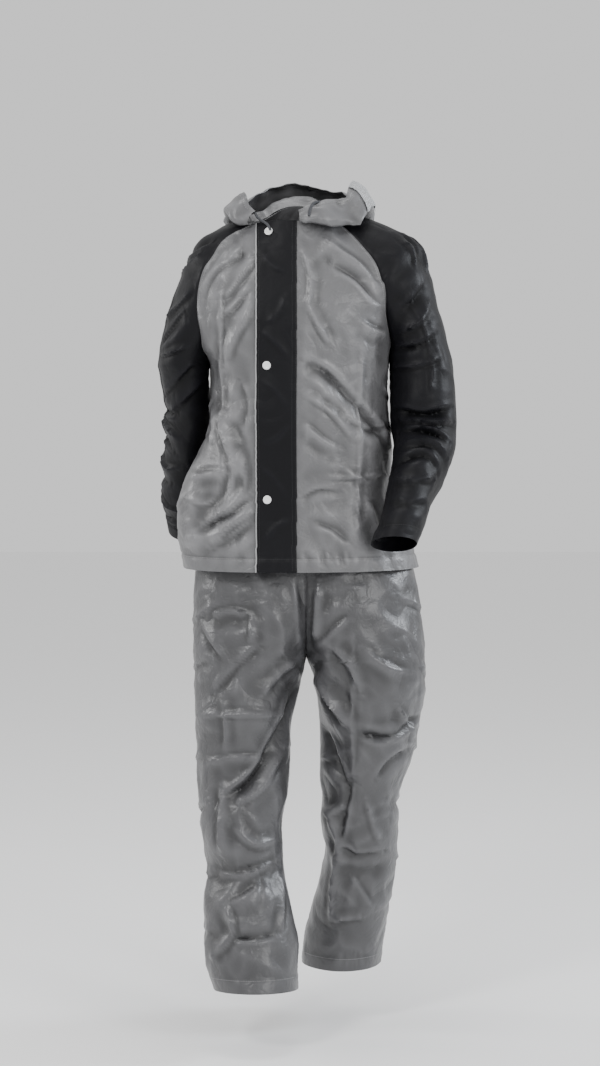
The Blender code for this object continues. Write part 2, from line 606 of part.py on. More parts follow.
def hem_relief(points):
    """Raise of the jacket's turned-up hem over its lowest strip."""
    return HEM_RELIEF * (points[..., 2] < JACKET_HEM_Z + HEM_DEPTH + 0.004)


def material(name, finish):
    """A plain material from a finish."""
    made = bpy.data.materials.new(name)
    made.use_nodes = True
    shader = made.node_tree.nodes["Principled BSDF"]
    red, green, blue, roughness, metallic = finish
    shader.inputs["Base Color"].default_value = (red, green, blue, 1.0)
    shader.inputs["Roughness"].default_value = roughness
    shader.inputs["Metallic"].default_value = metallic
    made.diffuse_color = (red, green, blue, 1.0)
    return made


def add_object(name, mesh, finish, smooth=True):
    """An object of its own in the suit's collection."""
    mesh.materials.append(material(name, finish))
    if smooth:
        mesh.shade_smooth()
    thing = bpy.data.objects.new(name, mesh)
    bpy.data.collections["rain_suit"].objects.link(thing)
    return thing


def wall(name, outside, inside, finish, tube_from=None, ring=False):
    """A closed wall between two grids of the same shape. From row tube_from down, the
    first and last columns are one seam and the wall is a tube. In a ring every row is."""
    rows, columns = outside.shape[:2]
    mesh_builder = bmesh.new()
    outer = [[mesh_builder.verts.new(point) for point in row] for row in outside]
    inner = [[mesh_builder.verts.new(point) for point in row] for row in inside]
    first_closed = 0 if ring else (rows if tube_from is None else tube_from)
    for row in range(first_closed, rows):
        for side in (outer, inner):
            side[row][-1].co = side[row][0].co
    for row in range(rows - 1):
        for place in range(columns - 1):
            mesh_builder.faces.new((outer[row][place], outer[row + 1][place],
                                    outer[row + 1][place + 1], outer[row][place + 1]))
            mesh_builder.faces.new((inner[row][place], inner[row][place + 1],
                                    inner[row + 1][place + 1], inner[row + 1][place]))
    for place in range(columns - 1):
        mesh_builder.faces.new((outer[0][place], outer[0][place + 1],
                                inner[0][place + 1], inner[0][place]))
        mesh_builder.faces.new((outer[-1][place + 1], outer[-1][place],
                                inner[-1][place], inner[-1][place + 1]))
    for row in range(min(first_closed, rows - 1)):
        mesh_builder.faces.new((outer[row + 1][0], outer[row][0],
                                inner[row][0], inner[row + 1][0]))
        mesh_builder.faces.new((outer[row][-1], outer[row + 1][-1],
                                inner[row + 1][-1], inner[row][-1]))
    bmesh.ops.remove_doubles(mesh_builder, verts=mesh_builder.verts, dist=1e-6)
    bmesh.ops.recalc_face_normals(mesh_builder, faces=mesh_builder.faces)
    mesh = bpy.data.meshes.new(name)
    mesh_builder.to_mesh(mesh)
    mesh_builder.free()
    return add_object(name, mesh, finish)


def sideways(name, point):
    """Which way along X a piece lies from a place where the cloth branches."""
    if name.startswith("trouser"):
        return -1.0 if name.endswith("right") else 1.0
    outward = float(np.sign(point[0]))
    return outward if name.startswith("sleeve") else -outward


def seam_shifts(grids, edges, open_rows):
    """How far each grid's points are drawn back from its seams. At a seam each piece
    moves away from its neighbour by half a seam's gap, across the seam or, where the
    two hang side by side in a valley, apart from each other."""
    runs = {}
    for name, grid in grids.items():
        rows = open_rows.get(name, grid.shape[0])
        sides = []
        if "top" in edges[name]:
            sides += [((0, place), (1, place)) for place in range(grid.shape[1])]
        if "first" in edges[name]:
            sides += [((row, 0), (row, 1)) for row in range(rows)]
        if "last" in edges[name]:
            last = grid.shape[1] - 1
            sides += [((row, last), (row, last - 1)) for row in range(rows)]
        for edge, inside in sides:
            run = grid[inside] - grid[edge]
            key = tuple(np.round(grid[edge] * 1e5).astype(int))
            runs.setdefault(key, []).append((name, edge, run / np.linalg.norm(run)))
    shifts = {name: np.zeros_like(grid) for name, grid in grids.items()}
    for key, ends in runs.items():
        point = np.array(key) / 1e5
        branch = any(np.linalg.norm(point - np.array(place)) < BRANCH_REACH for place in BRANCHES)
        for name, edge, _ in ends:
            own = np.mean([run for other, _, run in ends if other == name], axis=0)
            others = [run for other, _, run in ends if other != name]
            away = own - (np.mean(others, axis=0) if others else 0.0)
            away = away / max(np.linalg.norm(away), 1e-9)
            if branch:
                away = away + np.array([1.4 * sideways(name, point), 0.0, 0.0])
            shifts[name][edge] = HALF_SEAM * away
    return shifts


def jacket_grids():
    """The jacket's outer surfaces with their folds, and their shared normals."""
    raglan_keys, _ = body_rows()
    tube_keys = np.linspace(UNDERARM_KEY, CUFF_KEY - 0.6, SLEEVE_ROWS)[1:]
    sleeve_keys = np.concatenate([raglan_keys, tube_keys, [CUFF_KEY]])
    turns = np.linspace(-1, 1, SLEEVE_COLUMNS + 1)
    grids = {
        "front_right": front_points(RIGHT_SLEEVE, -1)[:, ::-1],
        "front_left": front_points(LEFT_SLEEVE, 1),
        "jacket_back": back_points()[:, ::-1],
        "sleeve_right": sleeve_points(RIGHT_SLEEVE, -1, sleeve_keys, turns),
        "sleeve_left": sleeve_points(LEFT_SLEEVE, 1, sleeve_keys, turns)[:, ::-1],
    }
    names = list(grids)
    normals = dict(zip(names, shared_normals([grids[name] for name in names])))
    for name in names:
        grid = grids[name]
        if name.startswith("sleeve"):
            right = name.endswith("right")
            table = RIGHT_SLEEVE if right else LEFT_SLEEVE
            order = turns if right else turns[::-1]
            angles = 180.0 * order[None, :] + 0 * sleeve_keys[:, None]
            folds = RIGHT_SLEEVE_FOLDS if right else LEFT_SLEEVE_FOLDS
            limit = read(table, SLEEVE_KEYS, "front", np.minimum(sleeve_keys, UNDERARM_KEY))
            angles = angles * np.minimum(limit, 180.0)[:, None] / 180.0
            lift = ring_fold_height(sleeve_keys, angles, folds)
            away = ease((1 - np.abs(order)) / 0.25)[None, :]
            lift = lift * np.where(sleeve_keys[:, None] < UNDERARM_KEY, away, 1.0)
            lift[-2:] += HEM_RELIEF
        else:
            lift = fold_height(grid, normals[name], JACKET_FOLDS)
            lift = lift * ease((grid[..., 2] - JACKET_HEM_Z) / 0.04)
            lift[:RAGLAN_ROWS + 1] *= away_from_seams(name, grid.shape[1])
            if name != "jacket_back":
                lift = lift * near_flap(grid)
            lift = lift + hem_relief(grid)
        grids[name] = grid + normals[name] * lift[..., None]
    folded = dict(zip(names, shared_normals([grids[name] for name in names])))
    return grids, folded


def make_jacket():
    """The jacket's panels, its sleeves and its flap."""
    grids, normals = jacket_grids()
    edges = {name: ("top", "first", "last") for name in grids}
    open_rows = {"sleeve_right": RAGLAN_ROWS, "sleeve_left": RAGLAN_ROWS}
    shifts = seam_shifts(grids, edges, open_rows)
    for name in grids:
        outside = grids[name] + shifts[name]
        inside = outside - WALL * normals[name]
        finish = BLACK_CLOTH if name.startswith("sleeve") else GREY_CLOTH
        wall(name, outside, inside, finish, tube_from=open_rows.get(name))
    right = grids["front_right"][:, -(FLAP_COLUMNS + 1):]
    right_normal = normals["front_right"][:, -(FLAP_COLUMNS + 1):]
    left = grids["front_left"][:, 1:FLAP_COLUMNS + 1]
    left_normal = normals["front_left"][:, 1:FLAP_COLUMNS + 1]
    base = np.concatenate([right, left], axis=1)
    normal = np.concatenate([right_normal, left_normal], axis=1)
    wall("front_flap", base + (LIFT + FLAP_WALL) * normal, base + LIFT * normal, BLACK_CLOTH)
    return grids, base + (LIFT + FLAP_WALL) * normal


def neck_ring(grids):
    """The neck seam from the flap's right edge over the back to its left edge."""
    front_right = grids["front_right"][0][::-1][FLAP_COLUMNS:]
    sleeve_right = grids["sleeve_right"][0][::-1]
    back = grids["jacket_back"][0][::-1]
    sleeve_left = grids["sleeve_left"][0][::-1]
    front_left = grids["front_left"][0][FLAP_COLUMNS:][::-1]
    ring = np.vstack([front_right, sleeve_right[1:], back[1:], sleeve_left[1:], front_left[1:]])
    steps = np.linalg.norm(np.diff(ring, axis=0), axis=1)
    place = np.append(0, np.cumsum(steps))
    place = (place - HOOD_START) / (place[-1] - 2 * HOOD_START)
    return ring, place


def hood_section(along, part):
    """Height over the neck seam and distance out from it, for a place round the neck and
    a place across the hood, 0 at the seam and 1 at the rim: up over the roll, down to the
    pouch's bottom, then up its outer layer to the rim."""
    lift = read(HOOD, HOOD_KEYS, "lift", along)
    reach = read(HOOD, HOOD_KEYS, "reach", along)
    drop = read(HOOD, HOOD_KEYS, "drop", along)
    belly = read(HOOD, HOOD_KEYS, "belly", along)
    rim_out = read(HOOD, HOOD_KEYS, "rim_out", along)
    rim_up = read(HOOD, HOOD_KEYS, "rim_up", along)
    out = (0 * reach, 0.30 * reach, 0.70 * reach, reach, reach + 0.8 * belly,
           reach + belly, 0.5 * (reach + belly) + 0.5 * rim_out, rim_out)
    up = (0 * lift, lift, 0.3 * lift - 0.45 * drop, -drop, -0.85 * drop,
          -0.35 * drop + 0.25 * rim_up, 0.80 * rim_up, rim_up)
    place = np.linspace(0, 1, len(out))
    return through(place, np.array(out), part), through(place, np.array(up), part)


def hood_points(grids, columns, rows):
    """Grid of the hood, a column for each place round the neck."""
    ring, ring_place = neck_ring(grids)
    grid = np.empty((rows + 1, columns + 1, 3))
    parts = np.linspace(0, 1, rows + 1)
    for number, along in enumerate(np.linspace(0, 1, columns + 1)):
        seam = np.array([np.interp(along, ring_place, ring[:, axis]) for axis in range(3)])
        outward = np.array([seam[0] - NECK_CENTRE[0], seam[1] - NECK_CENTRE[1], 0.0])
        outward = outward / np.linalg.norm(outward)
        for row, part in enumerate(parts):
            out, up = hood_section(along, part)
            grid[row, number] = seam + outward * out + np.array([0, 0, HOOD_LIFT + up])
    return grid


def make_hood(grids):
    """The hood, and the clear film on its left rim."""
    grid = hood_points(grids, HOOD_COLUMNS, HOOD_ROWS)
    normal = shared_normals([grid])[0]
    wall("hood", grid, grid - WALL * normal, GREY_CLOTH)
    rows = slice(VISOR_ROWS[0], VISOR_ROWS[1] + 1)
    columns = slice(VISOR_COLUMNS[0], VISOR_COLUMNS[1] + 1)
    patch = grid[rows, columns]
    out = normal[rows, columns]
    wall("hood_visor", patch + (LIFT + VISOR_WALL) * out, patch + LIFT * out, CLEAR_FILM)


def make_trousers():
    """The four trouser panels and the elastic waist."""
    grids = {
        "trouser_front_right": leg_points(-1, 1.0),
        "trouser_back_right": leg_points(-1, -1.0)[:, ::-1],
        "trouser_front_left": leg_points(1, 1.0)[:, ::-1],
        "trouser_back_left": leg_points(1, -1.0),
    }
    names = list(grids)
    normals = dict(zip(names, shared_normals([grids[name] for name in names])))
    heights = leg_heights()
    for name in names:
        grid = grids[name]
        lift = fold_height(grid, normals[name], TROUSER_FOLDS)
        lift = lift * ease((heights - LEG_HEM_Z) / 0.05)[:, None]
        lift[-2:] += HEM_RELIEF
        inner_edge = 0 if name in ("trouser_back_right", "trouser_front_left") else -1
        lift[:, inner_edge] *= 0.0
        grids[name] = grid + normals[name] * lift[..., None]
    normals = dict(zip(names, shared_normals([grids[name] for name in names])))
    edges = {name: ("first", "last") for name in names}
    shifts = seam_shifts(grids, edges, {})
    for name in names:
        outside = grids[name] + shifts[name]
        wall(name, outside, outside - WALL * normals[name], GREY_CLOTH)
    top = np.vstack([
        grids["trouser_front_right"][0],
        grids["trouser_front_left"][0][1:],
        grids["trouser_back_left"][0][1:],
        grids["trouser_back_right"][0][1:],
    ])
    centre = top.mean(axis=0)
    band = []
    for height, draw in ((0.0, 1.0), (0.4, 0.985), (0.75, 0.985), (1.0, 0.975)):
        ring = centre + (top - centre) * np.array([draw, draw, 1.0])
        ring[:, 2] += height * WAISTBAND_HEIGHT + 2 * HALF_SEAM
        band.append(ring)
    band = np.array(band[::-1])
    inward = (centre - band) * np.array([1.0, 1.0, 0.0])
    inward = inward / np.linalg.norm(inward, axis=-1, keepdims=True)
    wall("waistband", band, band + 1.5 * WALL * inward, ELASTIC, ring=True)


def on_flap(flap, x, z):
    """The place on the flap's front at a given x and z, and its neighbours' runs down
    and across."""
    middle = flap.shape[1] // 2
    row = int(np.clip(np.searchsorted(-flap[:, middle, 2], -z) - 1, 0, len(flap) - 2))
    across = np.clip(np.interp(x, flap[row, :, 0], np.arange(flap.shape[1])), 0, flap.shape[1] - 1.001)
    low = int(across)
    share = across - low
    upper = flap[row, low] * (1 - share) + flap[row, low + 1] * share
    lower = flap[row + 1, low] * (1 - share) + flap[row + 1, low + 1] * share
    down = (upper[2] - z) / (upper[2] - lower[2])
    return upper * (1 - down) + lower * down, lower - upper, flap[row, low + 1] - flap[row, low]


def make_snaps(flap):
    """White studs on the flap: a low disc with a rounded edge, flat on the cloth and
    clear of it all round its rim."""
    for name, x, z in SNAPS:
        place, run_down, run_across = on_flap(flap, x, z)
        facing = np.cross(run_across, run_down)
        facing = facing / np.linalg.norm(facing)
        facing = facing * -np.sign(facing[1])
        proud = 0.0
        for turn in np.linspace(0, 2 * math.pi, 16, endpoint=False):
            rim_x = x + SNAP_RADIUS * math.cos(turn)
            rim_z = z + SNAP_RADIUS * math.sin(turn)
            rim = on_flap(flap, rim_x, rim_z)[0]
            proud = max(proud, float((rim - place) @ facing))
        builder = bmesh.new()
        bmesh.ops.create_cone(builder, cap_ends=True, segments=16, radius1=SNAP_RADIUS,
                              radius2=SNAP_RADIUS * 0.86, depth=SNAP_HEIGHT)
        mesh = bpy.data.meshes.new(name)
        builder.to_mesh(mesh)
        builder.free()
        stud = add_object(name, mesh, WHITE_STUD, smooth=False)
        stud.location = place + facing * (SNAP_HEIGHT / 2 + LIFT + proud)
        stud.rotation_mode = "QUATERNION"
        stud.rotation_quaternion = Vector(facing).to_track_quat("Z", "Y")
        edge = stud.modifiers.new("rounded_edge", "BEVEL")
        edge.width = 0.0006
        edge.segments = 1
        edge.limit_method = "ANGLE"
        edge.angle_limit = math.radians(40)


def make_cord(name, route):
    """A free end of the drawcord, as a round tube along its route."""
    route = np.array(route)
    steps = np.linalg.norm(np.diff(route, axis=0), axis=1)
    place = np.append(0, np.cumsum(steps))
    count = max(6, int(place[-1] / (2.2 * CORD_DIAMETER)) + 1)
    at = np.linspace(0, place[-1], count)
    points = np.stack([through(place, route[:, axis], at) for axis in range(3)], axis=-1)
    curve = bpy.data.curves.new(name, "CURVE")
    curve.dimensions = "3D"
    curve.fill_mode = "FULL"
    curve.bevel_depth = CORD_DIAMETER / 2
    curve.bevel_resolution = 2
    curve.use_fill_caps = True
    spline = curve.splines.new("POLY")
    spline.points.add(count - 1)
    for number, point in enumerate(points):
        spline.points[number].co = (*point, 1.0)
    curve.materials.append(material(name, DARK_CORD))
    cord = bpy.data.objects.new(name, curve)
    bpy.data.collections["rain_suit"].objects.link(cord)


def build():
    """The whole suit."""
    for old in list(bpy.data.objects):
        bpy.data.objects.remove(old)
    collection = bpy.data.collections.new("rain_suit")
    bpy.context.scene.collection.children.link(collection)
    grids, flap = make_jacket()
    make_hood(grids)
    make_snaps(flap)
    make_cord("drawcord_right", CORD_RIGHT)
    make_cord("drawcord_left", CORD_LEFT)
    make_trousers()


build()
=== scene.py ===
"""The looks of a rain suit: cloth panels with their creases, seams and stitching, the
hood, the studs and the drawcord's ends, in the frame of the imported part.

Metres, +Z up, +X to the wearer's left, the front faces -Y.
"""
import itertools
import math

import bpy
import numpy as np
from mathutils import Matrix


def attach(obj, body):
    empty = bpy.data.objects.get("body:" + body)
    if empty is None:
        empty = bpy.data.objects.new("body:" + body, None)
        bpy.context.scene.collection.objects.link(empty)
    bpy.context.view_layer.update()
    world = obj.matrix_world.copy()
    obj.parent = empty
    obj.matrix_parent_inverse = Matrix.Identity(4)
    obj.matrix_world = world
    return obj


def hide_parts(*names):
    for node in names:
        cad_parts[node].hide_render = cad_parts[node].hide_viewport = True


# Driving dimensions of the cloth
WALL = 0.0012
HALF_SEAM = 0.00015
LIFT = 0.0005
HEM_DEPTH = 0.024
HEM_RELIEF = 0.0010

# Driving dimensions of the jacket
CENTRE_X = -0.035
FLAP_RIGHT_X = -0.085
FLAP_LEFT_X = -0.015
FLAP_WALL = 0.0014
NECK_FRONT_Z = -0.018
NECK_BACK_Z = 0.015
NECK_CENTRE = (-0.0165, -0.010)
JACKET_HEM_Z = -0.643
FRONT_ROUND = 0.62
BACK_ROUND = 0.50
HOOD_START = 0.004
HOOD_LIFT = 0.0009

# Driving dimensions of the trousers
MID_X = 0.002
WAIST_Z = -0.455
CROTCH_Z = -0.807
LEG_HEM_Z = -1.390
WAISTBAND_HEIGHT = 0.034

# A section of the sleeve for each key: how far out and up its outer line lies, the
# depth position of its centre, the tilt of its outer side above level and the swing of
# its lower end to the front in degrees, its half width across and half depth, and the
# angles from the outer line round to the front seam and the back seam.
SLEEVE_KEYS = ("key", "out", "up", "y", "tilt", "swing", "across", "depth", "front", "back")
UNDERARM_KEY = 9
CUFF_KEY = 17
RIGHT_SLEEVE = (
    (0, 0.1030, 0.002, -0.005, 80, 0, 0.0600, 0.072, 55, 45),
    (1, 0.1500, -0.026, -0.004, 64, 0, 0.0700, 0.085, 46, 45),
    (2, 0.1890, -0.048, -0.003, 52, 0, 0.0780, 0.095, 60, 52),
    (3, 0.2130, -0.078, -0.002, 36, 0, 0.0800, 0.100, 60, 58),
    (4, 0.2260, -0.115, 0.000, 22, 0, 0.0780, 0.100, 60, 62),
    (5, 0.2400, -0.155, 0.003, 12, 0, 0.0720, 0.095, 70, 72),
    (6, 0.2520, -0.195, 0.006, 7, 0, 0.0650, 0.090, 87, 90),
    (7, 0.2620, -0.235, 0.010, 4, 0, 0.0510, 0.085, 120, 122),
    (8, 0.2650, -0.256, 0.012, 3, 0, 0.0480, 0.082, 148, 150),
    (9, 0.2660, -0.275, 0.015, 2, -4, 0.0460, 0.080, 180, 180),
    (10, 0.2630, -0.310, 0.028, 0, -10, 0.0440, 0.074, 180, 180),
    (11, 0.2610, -0.350, 0.044, -1, -14, 0.0445, 0.070, 180, 180),
    (12, 0.2600, -0.390, 0.062, 0, -18, 0.0440, 0.066, 180, 180),
    (13, 0.2630, -0.430, 0.082, 0, -22, 0.0425, 0.062, 180, 180),
    (14, 0.2660, -0.470, 0.102, 0, -26, 0.0415, 0.059, 180, 180),
    (15, 0.2680, -0.510, 0.120, 0, -28, 0.0415, 0.056, 180, 180),
    (16, 0.2630, -0.548, 0.137, 0, -26, 0.0420, 0.053, 180, 180),
    (17, 0.2560, -0.585, 0.150, 0, -22, 0.0420, 0.051, 180, 180),
)
LEFT_SLEEVE = (
    (0, 0.0700, 0.003, -0.006, 82, 0, 0.0620, 0.072, 56, 45),
    (1, 0.1150, -0.010, -0.006, 72, 0, 0.0680, 0.080, 75, 46),
    (2, 0.1580, -0.027, -0.007, 62, 0, 0.0740, 0.086, 88, 52),
    (3, 0.1960, -0.048, -0.008, 50, 0, 0.0800, 0.090, 100, 58),
    (4, 0.2180, -0.078, -0.009, 34, 0, 0.0800, 0.091, 99, 62),
    (5, 0.2290, -0.115, -0.009, 18, 0, 0.0720, 0.090, 104, 76),
    (6, 0.2370, -0.155, -0.009, 8, 0, 0.0660, 0.087, 114, 98),
    (7, 0.2490, -0.197, -0.009, 4, 0, 0.0570, 0.083, 139, 128),
    (8, 0.2580, -0.232, -0.009, 2, 0, 0.0535, 0.081, 159, 156),
    (9, 0.2680, -0.265, -0.010, 0, 0, 0.0575, 0.079, 180, 180),
    (10, 0.2720, -0.305, -0.014, 0, 4, 0.0585, 0.078, 180, 180),
    (11, 0.2730, -0.345, -0.022, 0, 8, 0.0585, 0.076, 180, 180),
    (12, 0.2760, -0.385, -0.034, 0, 15, 0.0585, 0.073, 180, 180),
    (13, 0.2740, -0.420, -0.052, 0, 24, 0.0550, 0.069, 180, 180),
    (14, 0.2580, -0.460, -0.082, 0, 32, 0.0500, 0.064, 180, 180),
    (15, 0.2380, -0.500, -0.112, 0, 33, 0.0450, 0.060, 180, 180),
    (16, 0.2170, -0.545, -0.143, 0, 28, 0.0410, 0.056, 180, 180),
    (17, 0.1970, -0.590, -0.170, 0, 18, 0.0400, 0.054, 180, 180),
)

# Where one tube branches into two, at the underarms and the crotch: the cloth faces
# straight down there.
BRANCH_REACH = 0.0008
BRANCHES = (
    (-0.174, 0.015, -0.2782),
    (0.153, -0.010, -0.265),
    (0.002, -0.022, -0.807),
)

# Depth of the jacket at its centre front and centre back, by height.
CENTRE_KEYS = ("z", "front", "back")
JACKET_CENTRE = (
    (-0.645, -0.150, 0.140),
    (-0.590, -0.145, 0.137),
    (-0.510, -0.140, 0.133),
    (-0.430, -0.141, 0.131),
    (-0.350, -0.145, 0.132),
    (-0.275, -0.143, 0.135),
    (-0.200, -0.139, 0.134),
    (-0.150, -0.131, 0.129),
    (-0.100, -0.120, 0.120),
    (-0.060, -0.110, 0.109),
    (-0.018, -0.098, 0.088),
    (0.015, -0.090, 0.072),
)

# The side seams below the underarm: how far out and where in depth, by height.
SIDE_KEYS = ("z", "right", "left", "right_y", "left_y")
JACKET_SIDES = (
    (-0.645, 0.220, 0.208, -0.010, 0.002),
    (-0.590, 0.229, 0.192, -0.015, 0.003),
    (-0.550, 0.231, 0.175, -0.030, 0.004),
    (-0.510, 0.226, 0.160, -0.032, 0.005),
    (-0.470, 0.212, 0.152, -0.030, 0.005),
    (-0.430, 0.192, 0.149, -0.018, 0.003),
    (-0.390, 0.177, 0.148, -0.006, 0.000),
    (-0.350, 0.172, 0.148, 0.005, -0.003),
    (-0.310, 0.172, 0.149, 0.010, -0.008),
    (-0.275, 0.174, 0.153, 0.015, -0.010),
)

# The hips, shared by both legs: how far each leg's centre is from the middle, the
# outer radius of each side, the inner radius, the depth position of the centre, and
# the radii to the front and to the back.
HIP_KEYS = ("z", "apart", "outer_right", "outer_left", "inner", "y", "front", "back")
HIPS = (
    (-0.807, 0.102, 0.104, 0.113, 0.102, -0.022, 0.116, 0.116),
    (-0.795, 0.096, 0.111, 0.119, 0.101, -0.020, 0.118, 0.119),
    (-0.770, 0.085, 0.122, 0.128, 0.103, -0.018, 0.120, 0.122),
    (-0.730, 0.072, 0.134, 0.137, 0.109, -0.014, 0.121, 0.122),
    (-0.680, 0.060, 0.144, 0.144, 0.118, -0.010, 0.116, 0.116),
    (-0.620, 0.045, 0.151, 0.143, 0.128, -0.007, 0.107, 0.108),
    (-0.560, 0.030, 0.155, 0.1426, 0.140, -0.005, 0.100, 0.100),
    (-0.500, 0.015, 0.155, 0.1356, 0.150, -0.004, 0.097, 0.096),
    (-0.455, 0.003, 0.150, 0.126, 0.152, -0.003, 0.094, 0.092),
)

# The legs below the crotch: distance of the centre from the middle, outer and inner
# radius, depth position of the centre, radii to the front and back, and how far the
# ring rises for each metre to the front.
LEG_KEYS = ("z", "apart", "outer", "inner", "y", "front", "back", "slope")
RIGHT_LEG = (
    (-1.390, 0.0900, 0.0750, 0.0750, -0.150, 0.089, 0.092, 0.09),
    (-1.350, 0.0965, 0.0815, 0.0815, -0.142, 0.087, 0.092, 0.08),
    (-1.310, 0.0985, 0.0855, 0.0855, -0.133, 0.086, 0.092, 0.06),
    (-1.270, 0.1030, 0.0810, 0.0810, -0.124, 0.084, 0.091, 0.04),
    (-1.229, 0.1070, 0.0760, 0.0760, -0.115, 0.082, 0.090, 0.02),
    (-1.188, 0.1080, 0.0680, 0.0680, -0.105, 0.082, 0.089, 0.00),
    (-1.150, 0.1120, 0.0700, 0.0700, -0.097, 0.084, 0.087, 0.00),
    (-1.100, 0.1170, 0.0735, 0.0735, -0.086, 0.088, 0.086, 0.00),
    (-1.044, 0.1140, 0.0810, 0.0810, -0.073, 0.092, 0.089, 0.00),
    (-1.000, 0.1125, 0.0835, 0.0835, -0.062, 0.096, 0.092, 0.00),
    (-0.920, 0.1130, 0.0870, 0.0870, -0.045, 0.104, 0.100, 0.00),
    (-0.880, 0.1090, 0.0930, 0.0930, -0.036, 0.108, 0.106, 0.00),
    (-0.840, 0.1050, 0.0990, 0.0980, -0.028, 0.112, 0.112, 0.00),
    (-0.807, 0.1020, 0.1040, 0.1020, -0.022, 0.116, 0.116, 0.00),
)
LEFT_LEG = (
    (-1.390, 0.0665, 0.0735, 0.0735, 0.080, 0.084, 0.090, -0.04),
    (-1.351, 0.0695, 0.0745, 0.0745, 0.071, 0.083, 0.089, -0.02),
    (-1.302, 0.0785, 0.0725, 0.0725, 0.058, 0.082, 0.088, 0.00),
    (-1.254, 0.0885, 0.0695, 0.0695, 0.046, 0.081, 0.087, 0.00),
    (-1.206, 0.0975, 0.0675, 0.0675, 0.035, 0.080, 0.085, 0.00),
    (-1.160, 0.1020, 0.0660, 0.0660, 0.025, 0.082, 0.085, 0.00),
    (-1.110, 0.0985, 0.0705, 0.0705, 0.014, 0.085, 0.086, 0.00),
    (-1.065, 0.1000, 0.0700, 0.0700, 0.007, 0.089, 0.088, 0.00),
    (-1.040, 0.1020, 0.0760, 0.0760, 0.003, 0.091, 0.090, 0.00),
    (-1.000, 0.1095, 0.0835, 0.0835, -0.002, 0.094, 0.092, 0.00),
    (-0.920, 0.1160, 0.0920, 0.0920, -0.010, 0.102, 0.100, 0.00),
    (-0.880, 0.1180, 0.0980, 0.0980, -0.013, 0.107, 0.106, 0.00),
    (-0.840, 0.1145, 0.1040, 0.1015, -0.017, 0.112, 0.112, 0.00),
    (-0.807, 0.1020, 0.1130, 0.1020, -0.022, 0.116, 0.116, 0.00),
)

# The hood's section at places round the neck, from its right end over the back to its
# left end: the lift of the roll over the seam, how far out and down the pouch's bottom
# lies, how much further the outer layer bellies, and where the rim lies.
HOOD_KEYS = ("along", "lift", "reach", "drop", "belly", "rim_out", "rim_up")
HOOD = (
    (0.00, 0.006, 0.012, 0.000, 0.006, 0.002, 0.020),
    (0.03, 0.006, 0.020, 0.002, 0.012, 0.004, 0.038),
    (0.08, 0.008, 0.026, 0.001, 0.014, 0.008, 0.040),
    (0.14, 0.010, 0.028, -0.005, 0.013, 0.010, 0.026),
    (0.22, 0.012, 0.036, 0.004, 0.014, 0.014, 0.028),
    (0.30, 0.014, 0.052, 0.026, 0.018, 0.026, 0.038),
    (0.37, 0.016, 0.066, 0.064, 0.024, 0.042, 0.040),
    (0.44, 0.017, 0.076, 0.122, 0.030, 0.058, 0.041),
    (0.51, 0.016, 0.066, 0.064, 0.024, 0.046, 0.044),
    (0.58, 0.015, 0.054, 0.026, 0.020, 0.032, 0.048),
    (0.66, 0.013, 0.040, 0.002, 0.017, 0.020, 0.050),
    (0.73, 0.012, 0.034, -0.005, 0.016, 0.014, 0.048),
    (0.80, 0.010, 0.030, -0.001, 0.015, 0.010, 0.050),
    (0.88, 0.008, 0.026, 0.003, 0.012, 0.008, 0.042),
    (0.95, 0.006, 0.018, 0.002, 0.008, 0.004, 0.028),
    (1.00, 0.006, 0.012, 0.000, 0.006, 0.002, 0.016),
)

# The largest folds: a straight crest or trough seen from the front, from one end to
# the other, its half width, and its height over the panel. side is -1 on the front
# and +1 on the back.
FOLD_KEYS = ("x0", "z0", "x1", "z1", "width", "height", "side")
JACKET_FOLDS = (
    (-0.190, -0.150, -0.128, -0.075, 0.016, 0.006, -1),
    (-0.145, -0.275, -0.095, -0.150, 0.016, 0.005, -1),
    (-0.150, -0.362, -0.128, -0.459, 0.018, 0.009, -1),
    (-0.128, -0.459, -0.148, -0.545, 0.018, 0.009, -1),
    (-0.110, -0.468, -0.190, -0.565, 0.017, -0.008, -1),
    (-0.100, -0.520, -0.200, -0.592, 0.016, 0.008, -1),
    (0.040, -0.055, 0.140, -0.146, 0.017, 0.006, -1),
    (0.100, -0.223, 0.094, -0.620, 0.016, 0.005, -1),
    (0.010, -0.275, 0.079, -0.330, 0.018, -0.005, -1),
    (0.079, -0.330, 0.145, -0.441, 0.018, -0.006, -1),
    (-0.150, -0.110, -0.090, -0.240, 0.020, 0.006, 1),
    (0.120, -0.110, 0.060, -0.250, 0.020, 0.006, 1),
    (-0.160, -0.330, -0.060, -0.420, 0.020, -0.007, 1),
    (0.130, -0.320, 0.030, -0.430, 0.020, -0.007, 1),
    (-0.020, -0.300, -0.010, -0.620, 0.020, 0.006, 1),
    (-0.150, -0.560, -0.060, -0.500, 0.018, 0.007, 1),
)
